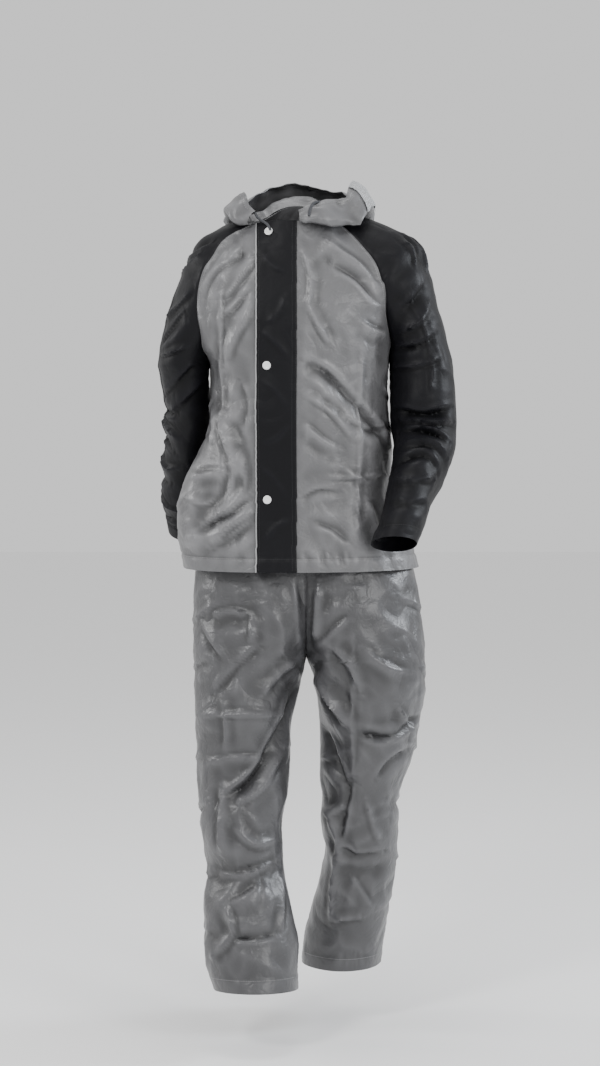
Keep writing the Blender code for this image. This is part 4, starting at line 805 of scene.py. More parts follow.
def front_grid(side):
    """A front panel: each row is a cubic from the centre line to the raglan or side
    seam, read at even places under the flap and beyond it."""
    table = RIGHT_SLEEVE if side < 0 else LEFT_SLEEVE
    under, beyond = RIGHT_FRONT_COLUMNS if side < 0 else LEFT_FRONT_COLUMNS
    raglan_keys, body_z = body_rows()
    edge = side_edge(table, side, raglan_keys, body_z, 1.0)
    share = np.linspace(0, 1, RAGLAN_ROWS + 1)
    upper_z = NECK_FRONT_Z + (JACKET_SIDES[-1][0] - NECK_FRONT_Z) * share
    centre_z = np.append(upper_z, body_z)
    centre_y = read(JACKET_CENTRE, CENTRE_KEYS, "front", centre_z)
    flap_x = FLAP_RIGHT_X if side < 0 else FLAP_LEFT_X
    fine = np.linspace(0, 1, 241)
    rows = []
    for number in range(len(centre_z)):
        centre = np.array([CENTRE_X, centre_y[number], centre_z[number]])
        fullness = float(ease(number / RAGLAN_ROWS))
        dense = body_row(centre, edge[number], fullness, FRONT_ROUND, fine)
        split = int(np.argmin(np.abs(dense[:, 0] - flap_x)))
        near = resample(dense[: split + 1], np.linspace(0, 1, under + 1))
        far = resample(dense[split:], spaced(beyond, 0.15, False, True))
        row = np.vstack([near, far[1:]])
        row[-1] = edge[number]
        rows.append(row)
    return np.array(rows)


def back_grid():
    """The back panel: each row is a pair of cubics from the centre back to both seams."""
    raglan_keys, body_z = body_rows()
    right = side_edge(RIGHT_SLEEVE, -1, raglan_keys, body_z, -1.0)
    left = side_edge(LEFT_SLEEVE, 1, raglan_keys, body_z, -1.0)
    share = np.linspace(0, 1, RAGLAN_ROWS + 1)
    upper_z = NECK_BACK_Z + (JACKET_SIDES[-1][0] - NECK_BACK_Z) * share
    centre_z = np.append(upper_z, body_z)
    centre_y = read(JACKET_CENTRE, CENTRE_KEYS, "back", centre_z)
    places = spaced(BACK_COLUMNS // 2, 0.2, False, True)
    fine = np.linspace(0, 1, 161)
    rows = []
    for number in range(len(centre_z)):
        centre = np.array([NECK_CENTRE[0], centre_y[number], centre_z[number]])
        fullness = float(ease(number / RAGLAN_ROWS))
        to_right = resample(body_row(centre, right[number], fullness, BACK_ROUND, fine), places)
        to_left = resample(body_row(centre, left[number], fullness, BACK_ROUND, fine), places)
        to_right[-1] = right[number]
        to_left[-1] = left[number]
        rows.append(np.vstack([to_right[::-1], to_left[1:]]))
    return np.array(rows)


def leg_heights():
    """Heights of the trousers' rows, from the waist over the crotch to the hem."""
    hips = np.linspace(WAIST_Z, CROTCH_Z, HIP_ROWS + 1)
    legs = np.linspace(CROTCH_Z, LEG_HEM_Z, LEG_ROWS + 1)[1:]
    return np.concatenate([hips, legs])


def leg_grid(side, end):
    """A trouser panel, from the side seam to the rise seam and inseam."""
    places = spaced(LEG_COLUMNS, 0.25, True, True)
    heights, turn = np.meshgrid(leg_heights(), end * places, indexing="ij")
    turn = np.where(turn == 0, end * 1e-9, turn)
    points = leg_ring(side, heights, turn)
    points[: HIP_ROWS + 1, -1, 0] = MID_X
    return points


def grid_normals(grid):
    """Sum of the normals of the faces round each point of a grid. It points to the side
    from which the rows run down and the columns run to the right."""
    down = grid[1:, :-1] - grid[:-1, :-1]
    down_far = grid[1:, 1:] - grid[:-1, 1:]
    right = grid[:-1, 1:] - grid[:-1, :-1]
    right_low = grid[1:, 1:] - grid[1:, :-1]
    face = np.cross(down + down_far, right + right_low)
    total = np.zeros_like(grid)
    total[:-1, :-1] += face
    total[1:, :-1] += face
    total[:-1, 1:] += face
    total[1:, 1:] += face
    return total


def shared_normals(grids):
    """Unit normals of several grids, averaged where their edges meet."""
    sums = [grid_normals(grid).reshape(-1, 3) for grid in grids]
    keys = np.round(np.vstack([grid.reshape(-1, 3) for grid in grids]) * 1e5 + 0.13).astype(int)
    _, which = np.unique(keys, axis=0, return_inverse=True)
    which = which.ravel()
    total = np.zeros((which.max() + 1, 3))
    np.add.at(total, which, np.vstack(sums))
    joined = total[which]
    for point in BRANCHES:
        near = np.linalg.norm(keys / 1e5 - np.array(point), axis=1) < BRANCH_REACH
        joined[near] = (0.0, 0.0, -1.0)
    joined = joined / np.maximum(np.linalg.norm(joined, axis=1, keepdims=True), 1e-12)
    result = []
    start = 0
    for grid in grids:
        count = grid.shape[0] * grid.shape[1]
        result.append(joined[start:start + count].reshape(grid.shape))
        start += count
    return result


def lattice(points, seed):
    """Smooth noise from 0 to 1: hashed values at whole places, eased between them."""
    cell = np.floor(points).astype(np.int64)
    part = ease(points - cell)
    total = np.zeros(points.shape[:-1])
    for corner in itertools.product((0, 1), repeat=3):
        place = (cell + np.array(corner)) @ np.array([73856093, 19349663, 83492791]) + seed * 7919
        mixed = (place ^ (place >> 13)) * 1274126177 & 0x7FFFFFFF
        mixed = (mixed ^ (mixed >> 15)) * 668265263 & 0x7FFFFFFF
        value = ((mixed ^ (mixed >> 16)) & 0xFFFF) / 65535.0
        weight = np.prod(np.where(np.array(corner) == 1, part, 1 - part), axis=-1)
        total += weight * value
    return total


TWIST = np.array([[0.62, 0.54, -0.57], [-0.70, 0.71, -0.09], [0.36, 0.45, 0.82]])


def crumple(points, size, seed, stretch=(1.0, 1.0, 1.0)):
    """Ridges of crumpled cloth, from -0.5 to 0.5: folded noise at a size in metres, at
    places that slower noise has pushed about."""
    place = (points * np.array(stretch)) @ TWIST / size
    push = np.stack([lattice(place * 0.5 + 17.3 * axis, seed + axis) for axis in range(3)], axis=-1)
    noise = lattice(place + 1.3 * push, seed + 7)
    return 0.5 - np.abs(2 * noise - 1) ** 0.8


def line_lift(flat, places, width, height, seed):
    """Lift by one crease: a rounded crest along a smooth line, steep on one side and
    gentle on the other with a shallow dip beyond, that fades and wavers along it."""
    places = np.array(places)
    keys = np.linspace(0, 1, len(places))
    fine = np.linspace(0, 1, 3 * len(places) + 1)
    line = np.stack([through(keys, places[:, 0], fine), through(keys, places[:, 1], fine)], axis=-1)
    low = line.min(axis=0) - 4 * width
    high = line.max(axis=0) + 4 * width
    lift = np.zeros(flat.shape[:-1])
    near = np.all((flat > low) & (flat < high), axis=-1)
    if not near.any():
        return lift
    spot = flat[near]
    best = np.full(len(spot), 1e9)
    side = np.zeros(len(spot))
    along = np.zeros(len(spot))
    for number in range(len(line) - 1):
        run = line[number + 1] - line[number]
        part = ((spot - line[number]) @ run) / max(run @ run, 1e-12)
        held = np.clip(part, 0, 1)
        gap = spot - (line[number] + held[:, None] * run)
        distance = np.linalg.norm(gap, axis=-1)
        closer = distance < best
        best = np.where(closer, distance, best)
        turn = run[0] * gap[:, 1] - run[1] * gap[:, 0]
        side = np.where(closer, np.sign(turn), side)
        along = np.where(closer, (number + held) / (len(line) - 1), along)
    steep = 1.0 if seed % 2 else -1.0
    scale = np.where(side * steep > 0, 0.52, 1.20) * width
    away = best / scale
    crest = np.exp(-2.3 * (np.sqrt(away ** 2 + 0.05) - 0.22))
    dip = 0.36 * np.exp(-((away - 2.0) / 0.9) ** 2)
    ends = ease(along / 0.22) * ease((1 - along) / 0.22)
    end_gap = np.exp(-(best / (1.5 * width)) ** 2)
    ends = np.maximum(ends, 0.35 * end_gap * (np.minimum(along, 1 - along) <= 0.02))
    waver = 1 + 0.25 * np.sin(9.0 * along + seed)
    lift[near] = height * (crest - dip) * ends * waver
    return lift


def crease_lift(flat, facing, creases):
    """Lift by a table of creases, on the cloth that faces the way they are seen from."""
    lift = np.zeros(flat.shape[:-1])
    for number, (width, height, _, places) in enumerate(creases):
        lift += line_lift(flat, places, width, height, number)
    return lift * facing


def seen_creases(points, normals, creases):
    """Lift by the creases seen from the front (-1) or the back (+1)."""
    lift = np.zeros(points.shape[:-1])
    for side in (-1, 1):
        rows = [row for row in creases if row[2] == side]
        facing = ease(1.8 * side * normals[..., 1] + 0.1)
        lift += CREASE_GAIN * crease_lift(points[..., [0, 2]], facing, rows)
    return lift


def side_creases(points, normals, creases):
    """Lift by the creases seen from the wearer's right (-1) or left (+1), placed in depth
    and height."""
    lift = np.zeros(points.shape[:-1])
    for side in (-1, 1):
        rows = [row for row in creases if row[2] == side]
        facing = ease(2.0 * side * normals[..., 0] - 0.3)
        lift += SIDE_GAIN * crease_lift(points[..., [1, 2]], facing, rows)
    return lift


def edge_distance(grid, first, last):
    """Distance of each point along its row from a seam at the first or last column."""
    steps = np.linalg.norm(np.diff(grid, axis=1), axis=2)
    run = np.concatenate([np.zeros((len(grid), 1)), np.cumsum(steps, axis=1)], axis=1)
    far = np.full(run.shape, 9.0)
    if first:
        far = np.minimum(far, run)
    if last:
        far = np.minimum(far, run[:, -1:] - run)
    return far


def seam_lift(grid, distance, seed):
    """The valley of a seam, and the small puckers that its stitching draws."""
    steps = np.linalg.norm(np.diff(grid[:, -1], axis=0), axis=1)
    along = np.append(0, np.cumsum(steps))[:, None]
    ripple = np.sin(along / 0.0031 + 2.2 * np.sin(along / 0.021 + seed)) * (0.6 + 0.4 * np.sin(along / 0.047))
    valley = -SEAM_DEPTH * np.exp(-(distance / SEAM_WIDTH) ** 2)
    pucker = PUCKER_HEIGHT * ripple * np.exp(-((distance - 0.005) / 0.005) ** 2)
    return valley + pucker


def hem_lift(height, depth):
    """A turned-up hem over the lowest strip: raised, with a pinched stitch line on top."""
    band = ease((depth + 0.001 - height) / 0.003)
    stitch = np.exp(-((height - depth) / 0.0022) ** 2)
    return HEM_RAISE * band - 0.0008 * stitch


def hem_puckers(around, height, depth, seed):
    """Short ripples that a hem's stitching draws, strongest at the stitch line."""
    ripple = np.sin(around / 0.0042 + 1.9 * np.sin(around / 0.031 + seed) + seed)
    ripple = ripple * (0.55 + 0.45 * np.sin(around / 0.083 + 2 * seed))
    return 0.0009 * ripple * np.exp(-((height - depth) / 0.016) ** 2)


def sleeve_flat(keys, angles):
    """A sleeve laid flat: how far round from its outer line, and how far along, in
    metres."""
    around = np.radians(angles) * 0.062
    along = 0.0405 * keys[:, None] + 0 * angles
    return np.stack([around, along], axis=-1)


def sleeve_creases(keys, angles, creases):
    """Lift by a sleeve's creases, given at sleeve keys and angles, on the open tube and
    on its wrapped copies."""
    lift = np.zeros(angles.shape)
    turn = math.tau * 0.062
    flat = sleeve_flat(keys, angles)
    for number, (width, height, places) in enumerate(creases):
        line = [(math.radians(angle) * 0.062, 0.0405 * key) for key, angle in places]
        for shift in (-turn, 0.0, turn):
            lift += line_lift(flat + np.array([shift, 0.0]), line, width, height, number)
    return lift


def fold_shade(lift):
    """Painted shade and highlight for the cloth's colour: from 0 in the valleys to 1 on the
    crests, each lift against the average near it.
    """
    mean = lift.copy()
    for _ in range(16):
        wide = np.pad(mean, 1, mode="edge")
        mean = (wide[:-2, 1:-1] + wide[2:, 1:-1] + wide[1:-1, :-2] + wide[1:-1, 2:] + mean) / 5
    return np.clip(0.5 + (lift - mean) / 0.0035, 0, 1)


def mesh_object(name, points, faces, shader, smooth=True, fold=None):
    """An object from points and faces of four corners, with how far each point is from
    a valley to a crest, which paints shade and highlight into the cloth's colour."""
    used, faces = np.unique(faces, return_inverse=True)
    faces = faces.reshape(-1, 4)
    points = points[used]
    mesh = bpy.data.meshes.new(name)
    mesh.vertices.add(len(points))
    mesh.vertices.foreach_set("co", np.ascontiguousarray(points, dtype=np.float32).ravel())
    mesh.loops.add(faces.size)
    mesh.loops.foreach_set("vertex_index", faces.astype(np.int32).ravel())
    mesh.polygons.add(len(faces))
    mesh.polygons.foreach_set("loop_start", np.arange(0, faces.size, 4, dtype=np.int32))
    mesh.update(calc_edges=True)
    if smooth:
        mesh.shade_smooth()
        mesh.set_sharp_from_angle(angle=math.radians(55))
    if fold is not None:
        values = mesh.attributes.new("fold", "FLOAT", "POINT")
        values.data.foreach_set("value", fold[used].astype(np.float32))
    mesh.materials.append(shader)
    thing = bpy.data.objects.new(name, mesh)
    bpy.context.scene.collection.objects.link(thing)
    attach(thing, "root")
    return thing


def wall(name, outside, inside, shader, tube_from=None, ring=False, fold=None):
    """A closed wall between two grids of the same shape. From row tube_from down, its
    first and last columns are one; in a ring they are on every row."""
    rows, columns = outside.shape[:2]
    closed = 0 if ring else (rows if tube_from is None else tube_from)
    count = rows * columns
    outer = np.arange(count).reshape(rows, columns)
    outer[closed:, -1] = outer[closed:, 0]
    inner = outer + count
    faces = [
        np.stack((outer[:-1, :-1], outer[1:, :-1], outer[1:, 1:], outer[:-1, 1:]), -1).reshape(-1, 4),
        np.stack((inner[:-1, :-1], inner[:-1, 1:], inner[1:, 1:], inner[1:, :-1]), -1).reshape(-1, 4),
        np.stack((outer[0, :-1], outer[0, 1:], inner[0, 1:], inner[0, :-1]), -1),
        np.stack((outer[-1, 1:], outer[-1, :-1], inner[-1, :-1], inner[-1, 1:]), -1),
    ]
    last = min(closed, rows - 1)
    if last > 0:
        first_edge = (outer[1:last + 1, 0], outer[:last, 0], inner[:last, 0], inner[1:last + 1, 0])
        last_edge = (outer[:last, -1], outer[1:last + 1, -1], inner[1:last + 1, -1], inner[:last, -1])
        faces += [np.stack(first_edge, -1), np.stack(last_edge, -1)]
    points = np.vstack([outside.reshape(-1, 3), inside.reshape(-1, 3)])
    faces = np.vstack(faces)
    first, second, third = (points[faces[:, place]] for place in (0, 1, 2))
    fourth = points[faces[:, 3]]
    volume = np.einsum("ij,ij->i", first, np.cross(second, third)).sum()
    volume += np.einsum("ij,ij->i", first, np.cross(third, fourth)).sum()
    if volume < 0:
        faces = faces[:, ::-1]
    if fold is not None:
        fold = np.tile(fold.ravel(), 2)
    return mesh_object(name, points, faces, shader, fold=fold)


def flat_cut(grid):
    """Width, length and area of the cloth that a grid is cut from."""
    across = np.linalg.norm(np.diff(grid, axis=1), axis=2)
    down = np.linalg.norm(np.diff(grid, axis=0), axis=2)
    width = float(across.sum(axis=1).max())
    length = float(down.sum(axis=0).max())
    area = float((0.25 * (across[:-1] + across[1:]) * (down[:, :-1] + down[:, 1:])).sum())
    return (round(width, 3), round(length, 3)), min(area, width * length)


def thread(name, paths, shader):
    """Rows of stitches: each is a short square thread, proud in its middle and sunk at
    both ends, laid one pitch apart along a path of points with their normals."""
    points = []
    for path, normal in paths:
        steps = np.linalg.norm(np.diff(path, axis=0), axis=1)
        run = np.append(0, np.cumsum(steps))
        starts = np.arange(0.003, run[-1] - STITCH_LENGTH - 0.003, STITCH_PITCH)
        if len(starts) == 0:
            continue
        at = starts[:, None] + STITCH_LENGTH * np.array([0.0, 0.25, 0.75, 1.0])
        centre = np.stack([np.interp(at, run, path[:, axis]) for axis in range(3)], axis=-1)
        up = np.stack([np.interp(at, run, normal[:, axis]) for axis in range(3)], axis=-1)
        up = up / np.linalg.norm(up, axis=-1, keepdims=True)
        ahead = centre[:, -1:] - centre[:, :1]
        aside = np.cross(up, ahead / np.linalg.norm(ahead, axis=-1, keepdims=True))
        sink = THREAD_RADIUS * np.array([-1.3, 0.5, 0.5, -1.3])[None, :, None]
        centre = centre + up * sink
        ring = [centre + THREAD_RADIUS * (aside * math.cos(turn) + up * math.sin(turn))
                for turn in np.linspace(0, math.tau, 5)[:4] + 0.785]
        points.append(np.stack(ring, axis=2).reshape(-1, 16, 3))
    points = np.concatenate(points)
    faces = []
    for row in range(3):
        for place in range(4):
            nearby = (place + 1) % 4
            faces.append((4 * row + place, 4 * row + nearby, 4 * row + 4 + nearby, 4 * row + 4 + place))
    faces += [(3, 2, 1, 0), (12, 13, 14, 15)]
    faces = np.array(faces)[None] + 16 * np.arange(len(points))[:, None, None]
    return mesh_object(name, points.reshape(-1, 3), faces.reshape(-1, 4), shader, smooth=False)


def column_path(grid, normals, distance_in, last=True):
    """Path down a grid at a distance in from its last or first column."""
    rows = []
    ups = []
    for line, up in zip(grid, normals):
        if last:
            line = line[::-1]
            up = up[::-1]
        steps = np.linalg.norm(np.diff(line, axis=0), axis=1)
        run = np.append(0, np.cumsum(steps))
        rows.append([np.interp(distance_in, run, line[:, axis]) for axis in range(3)])
        ups.append([np.interp(distance_in, run, up[:, axis]) for axis in range(3)])
    return np.array(rows), np.array(ups)


def row_path(grid, normals, distance_up):
    """Path across a grid at a distance up from its last row."""
    points = []
    ups = []
    for place in range(grid.shape[1]):
        line = grid[::-1, place]
        up = normals[::-1, place]
        run = np.append(0, np.cumsum(np.linalg.norm(np.diff(line, axis=0), axis=1)))
        points.append([np.interp(distance_up, run, line[:, axis]) for axis in range(3)])
        ups.append([np.interp(distance_up, run, up[:, axis]) for axis in range(3)])
    return np.array(points), np.array(ups)


class Value:
    """A shader value that adds, multiplies and compares as a number does."""

    def __init__(self, graph, socket):
        self.graph = graph
        self.socket = socket

    def make(self, operation, *others):
        node = self.graph.nodes.new("ShaderNodeMath")
        node.operation = operation
        for place, item in enumerate(others):
            put(self.graph, node.inputs[place], item)
        return Value(self.graph, node.outputs[0])

    def __add__(self, other):
        return self.make("ADD", self, other)

    def __sub__(self, other):
        return self.make("SUBTRACT", self, other)

    def __mul__(self, other):
        return self.make("MULTIPLY", self, other)

    def __truediv__(self, other):
        return self.make("DIVIDE", self, other)

    def __pow__(self, other):
        return self.make("POWER", self, other)

    def __radd__(self, other):
        return self.make("ADD", other, self)

    def __rsub__(self, other):
        return self.make("SUBTRACT", other, self)

    def __rmul__(self, other):
        return self.make("MULTIPLY", other, self)

    def __abs__(self):
        return self.make("ABSOLUTE", self)


def put(graph, socket, item):
    """Links a value to a socket, or sets it."""
    if isinstance(item, Value):
        graph.links.new(item.socket, socket)
    else:
        socket.default_value = item


def node(graph, kind, settings=None, output=0, **inputs):
    """Any shader node: its settings, then its inputs, as values or links."""
    made = graph.nodes.new(kind)
    for name, value in (settings or {}).items():
        setattr(made, name, value)
    for name, value in inputs.items():
        put(graph, made.inputs[name.replace("_", " ")], value)
    return Value(graph, made.outputs[output])


def cloth_shader(name, colour, roughness, coat, crinkle, shine):
    """Coated polyester: colour with painted shade in the crease valleys and painted highlight
    on the crests and a little random variation, a satin shine that varies with handling,
    and bumps of fine crinkles and of the weave."""
    made = bpy.data.materials.new(name)
    made.use_nodes = True
    graph = made.node_tree
    shader = graph.nodes["Principled BSDF"]
    place = node(graph, "ShaderNodeTexCoord", output=3)
    broad = node(graph, "ShaderNodeTexNoise", Vector=place, Scale=14.0, Detail=3.0)
    fine = node(graph, "ShaderNodeTexNoise", Vector=place, Scale=90.0, Detail=4.0, Roughness=0.6)
    folded = abs(2 * fine - 1)
    crisp = node(graph, "ShaderNodeTexNoise", Vector=place, Scale=38.0, Detail=2.0, Distortion=0.6)
    sharp = abs(2 * crisp - 1)
    wide = node(graph, "ShaderNodeTexNoise", Vector=place, Scale=9.0, Detail=1.0, Distortion=0.9)
    planes = abs(2 * wide - 1)
    weave = node(graph, "ShaderNodeTexNoise", Vector=place, Scale=1400.0, Detail=1.0)
    shade = node(graph, "ShaderNodeMix", {"data_type": "RGBA"}, output=2)
    mix = shade.socket.node
    fold = node(graph, "ShaderNodeAttribute", {"attribute_name": "fold"}, output=2)
    # Painted shade and highlight: the colour runs from 0.42 of itself in the crease valleys to 1.58 on the crests by
    # the fold attribute, with a fifth of random tone from broad noise.
    put(graph, mix.inputs["Factor"], 0.8 * fold + 0.2 * broad)
    mix.inputs[6].default_value = (*(0.42 * part for part in colour), 1)
    mix.inputs[7].default_value = (*(1.58 * part for part in colour), 1)
    put(graph, shader.inputs["Base Color"], shade)
    put(graph, shader.inputs["Roughness"], roughness + 0.12 * (broad - 0.5) - 0.08 * (fold - 0.5))
    height = crinkle * (6.0 * planes + sharp + 0.35 * folded) + 0.02 * weave
    bump = node(graph, "ShaderNodeBump", Height=height, Distance=0.0016, Strength=0.8)
    put(graph, shader.inputs["Normal"], bump)
    shader.inputs["Coat Weight"].default_value = coat
    shader.inputs["Coat Roughness"].default_value = 0.30
    shader.inputs["Specular IOR Level"].default_value = shine
    return made


def plain_shader(name, colour, roughness, bump_scale=None, bump_depth=0.0, alpha=1.0):
    """A plain finish with an uneven roughness and, for some, a bump."""
    made = bpy.data.materials.new(name)
    made.use_nodes = True
    graph = made.node_tree
    shader = graph.nodes["Principled BSDF"]
    shader.inputs["Base Color"].default_value = (*colour, 1)
    place = node(graph, "ShaderNodeTexCoord", output=3)
    patch = node(graph, "ShaderNodeTexNoise", Vector=place, Scale=60.0, Detail=2.0)
    put(graph, shader.inputs["Roughness"], roughness + 0.10 * (patch - 0.5))
    if bump_scale:
        rough = node(graph, "ShaderNodeTexNoise", Vector=place, Scale=bump_scale, Detail=3.0)
        bump = node(graph, "ShaderNodeBump", Height=abs(2 * rough - 1), Distance=bump_depth)
        put(graph, shader.inputs["Normal"], bump)
    shader.inputs["Alpha"].default_value = alpha
    return made


def press_height(grid):
    """How strongly the body and the left sleeve press together at each height."""
    return np.exp(-((grid[..., 2] - PRESS_Z) / PRESS_REACH) ** 2)


def jacket_lift(name, grid, normals, sleeve_keys, turns):
    """Everything that lifts a jacket panel off its plain cut: the largest folds, the
    creases, the crumples, the hem and the seams."""
    if name.startswith("sleeve"):
        right = name.endswith("right")
        order = turns if right else turns[::-1]
        table = RIGHT_SLEEVE if right else LEFT_SLEEVE
        limit = read(table, SLEEVE_KEYS, "front", np.minimum(sleeve_keys, UNDERARM_KEY))
        angles = 180.0 * order[None, :] * np.minimum(limit, 180.0)[:, None] / 180.0
        lift = ring_fold_height(sleeve_keys, angles, RIGHT_SLEEVE_FOLDS if right else LEFT_SLEEVE_FOLDS)
        lift = lift + sleeve_creases(sleeve_keys, angles, RIGHT_SLEEVE_CREASES if right else LEFT_SLEEVE_CREASES)
        lift = lift + 0.0030 * crumple(grid, 0.070, 3, (1.0, 1.0, 1.9))
        lift = lift + 0.0007 * crumple(grid, 0.026, 5, (1.0, 1.0, 1.3))
        away = ease((1 - np.abs(order)) / 0.22)[None, :]
        lift = lift * np.where(sleeve_keys[:, None] < UNDERARM_KEY, away, 1.0)
        blend = ease((sleeve_keys - UNDERARM_KEY) / 1.2)[:, None]
        lift = lift * np.where(sleeve_keys[:, None] < UNDERARM_KEY, 1.0, blend + (1 - blend) * away)
        if not right:
            lift = lift + SLEEVE_SWELL * ease(-1.6 * normals[..., 0] - 0.4) * press_height(grid)
        height = np.cumsum(np.linalg.norm(np.diff(grid[::-1], axis=0), axis=2), axis=0)
        height = np.vstack([np.zeros((1, grid.shape[1])), height])[::-1]
        lift = lift * (0.4 + 0.6 * ease(height / 0.03))
        lift = lift + hem_lift(height, HEM_DEPTH)
        lift = lift + hem_puckers(np.radians(angles) * 0.06, height, HEM_DEPTH, 2)
        return lift + seam_lift(grid, edge_distance(grid, True, True), 1)
    lift = fold_height(grid, normals, JACKET_FOLDS)
    lift = lift + BODY_SWELL * ease(1.5 * normals[..., 0] - 0.3) * press_height(grid)
    lift = lift + seen_creases(grid, normals, JACKET_CREASES)
    lift = lift + side_creases(grid, normals, JACKET_SIDE_CREASES)
    lift = lift + 0.0036 * crumple(grid, 0.070, 11, (1.0, 1.0, 0.75))
    lift = lift + 0.0020 * crumple(grid, 0.028, 12, (1.0, 1.0, 0.85))
    height = grid[..., 2] - JACKET_HEM_Z
    lift = lift * (0.35 + 0.65 * ease(height / 0.05))
    first = name != "front_left"
    last = name != "front_right"
    distance = edge_distance(grid, first, last)
    upper = np.zeros(grid.shape[:2])
    upper[:RAGLAN_ROWS + 1] = 1
    lift = lift * np.where(upper > 0, ease(distance / 0.045), 1.0)
    if name != "jacket_back":
        lift = lift * (0.15 + 0.85 * near_flap(grid))
    lift = lift + hem_lift(height, HEM_DEPTH)
    lift = lift + hem_puckers(grid[..., 0], height, HEM_DEPTH, 1)
    return lift + seam_lift(grid if last else grid[:, ::-1], distance, 4)


def trouser_lift(grid, normals):
    """Everything that lifts a trouser panel off its plain cut."""
    lift = fold_height(grid, normals, TROUSER_FOLDS)
    lift = lift + seen_creases(grid, normals, TROUSER_CREASES)
    lift = lift + side_creases(grid, normals, TROUSER_SIDE_CREASES)
    side = np.where(grid[..., :1] < MID_X, -1.0, 1.0)
    place = grid + side * np.array([0.37, 0.0, 0.11])
    lift = lift + 0.0052 * crumple(place, 0.075, 21, (1.0, 1.0, 0.8))
    lift = lift + 0.0022 * crumple(place, 0.030, 23, (1.0, 1.0, 0.9))
    return lift


def inner_side(name):
    """Whether a trouser panel's first column is its inner one."""
    return name in ("trouser_back_right", "trouser_front_left")


def jacket_surfaces():
    """The jacket's outer surfaces and their plain normals."""
    raglan_keys, _ = body_rows()
    tube_keys = np.linspace(UNDERARM_KEY, CUFF_KEY, SLEEVE_ROWS + 1)[1:]
    sleeve_keys = np.concatenate([raglan_keys, tube_keys])
    half = spaced(SLEEVE_COLUMNS // 2, 0.18, False, True)
    turns = np.concatenate([-half[::-1], half[1:]])
    grids = {
        "front_right": front_grid(-1)[:, ::-1],
        "front_left": front_grid(1),
        "jacket_back": back_grid()[:, ::-1],
        "sleeve_right": sleeve_points(RIGHT_SLEEVE, -1, sleeve_keys, turns),
        "sleeve_left": sleeve_points(LEFT_SLEEVE, 1, sleeve_keys, turns)[:, ::-1],
    }
    names = list(grids)
    normals = dict(zip(names, shared_normals([grids[name] for name in names])))
    plain = dict(grids)
    for name in names:
        lift = jacket_lift(name, grids[name], normals[name], sleeve_keys, turns)
        grids[name] = grids[name] + normals[name] * lift[..., None]
    return plain, grids, normals


def trouser_surfaces():
    """The trousers' outer surfaces and their plain normals."""
    grids = {
        "trouser_front_right": leg_grid(-1, 1.0),
        "trouser_back_right": leg_grid(-1, -1.0)[:, ::-1],
        "trouser_front_left": leg_grid(1, 1.0)[:, ::-1],
        "trouser_back_left": leg_grid(1, -1.0),
    }
    names = list(grids)
    normals = dict(zip(names, shared_normals([grids[name] for name in names])))
    plain = dict(grids)
    heights = leg_heights()
    for number, name in enumerate(names):
        grid = grids[name]
        lift = trouser_lift(grid, normals[name])
        inner = edge_distance(grid, inner_side(name), not inner_side(name))
        lift = lift * ease(inner / 0.03)
        height = (heights - LEG_HEM_Z)[:, None] + 0 * lift
        lift = lift * (0.4 + 0.6 * ease(height / 0.05))
        lift = lift + hem_lift(height, HEM_DEPTH)
        around = np.arctan2(grid[..., 1] + 0.03, np.abs(grid[..., 0]) - 0.09) * 0.085
        lift = lift + hem_puckers(around, height, HEM_DEPTH, 3)
        lift = lift + seam_lift(grid, edge_distance(grid, True, True), 6 + number // 2)
        grids[name] = grid + normals[name] * lift[..., None]
    return plain, grids, normals


def drawn_back(grid, first, last, top):
    """A grid drawn back from its seams by half a seam's gap."""
    grid = grid.copy()
    sides = []
    if first:
        sides.append((np.s_[:, 0], grid[:, 1] - grid[:, 0]))
    if last:
        sides.append((np.s_[:, -1], grid[:, -2] - grid[:, -1]))
    if top:
        sides.append((np.s_[0], grid[1] - grid[0]))
    for place, run in sides:
        length = np.maximum(np.linalg.norm(run, axis=-1, keepdims=True), 1e-9)
        grid[place] = grid[place] + HALF_SEAM * run / length
    return grid


def panel(name, plain, outside, normals, shader, edges, tube_from=None, held="hung"):
    """A panel of cloth as a closed wall that stands for its solid, and the size and area of its flat cut."""
    # Painted shade and highlight: the fold attribute darkens the valleys and lightens the crests in the cloth's
    # colour.
    fold = fold_shade(((outside - plain) * normals).sum(axis=-1))
    outside = drawn_back(outside, *edges)
    inside = outside - WALL * normals
    piece = wall(name + "_cloth", outside, inside, shader, tube_from=tube_from, fold=fold)
    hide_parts(name)
    flat, area = flat_cut(plain)
    return piece, flat, area, held


def neck_ring(grids):
    """The neck seam from the flap's right edge over the back to its left edge."""
    front_right = grids["front_right"][0][::-1][RIGHT_FRONT_COLUMNS[0]:]
    sleeve_right = grids["sleeve_right"][0][::-1]
    back = grids["jacket_back"][0][::-1]
    sleeve_left = grids["sleeve_left"][0][::-1]
    front_left = grids["front_left"][0][LEFT_FRONT_COLUMNS[0]:][::-1]
    ring = np.vstack([front_right, sleeve_right[1:], back[1:], sleeve_left[1:], front_left[1:]])
    steps = np.linalg.norm(np.diff(ring, axis=0), axis=1)
    place = np.append(0, np.cumsum(steps))
    place = (place - HOOD_START) / (place[-1] - 2 * HOOD_START)
    return ring, place


def hood_grid(grids, alongs, parts):
    """The hood, a column for each place round the neck and a row for each place from
    the seam to the rim."""
    ring, ring_place = neck_ring(grids)
    seam = np.stack([np.interp(alongs, ring_place, ring[:, axis]) for axis in range(3)], axis=-1)
    outward = seam - np.array([*NECK_CENTRE, 0.0])
    outward[:, 2] = 0
    outward = outward / np.linalg.norm(outward, axis=-1, keepdims=True)
    grid = np.empty((len(parts), len(alongs), 3))
    for row, part in enumerate(parts):
        for number, along in enumerate(alongs):
            out, up = hood_section(along, part)
            grid[row, number] = seam[number] + outward[number] * out + np.array([0, 0, HOOD_LIFT + up])
    return grid


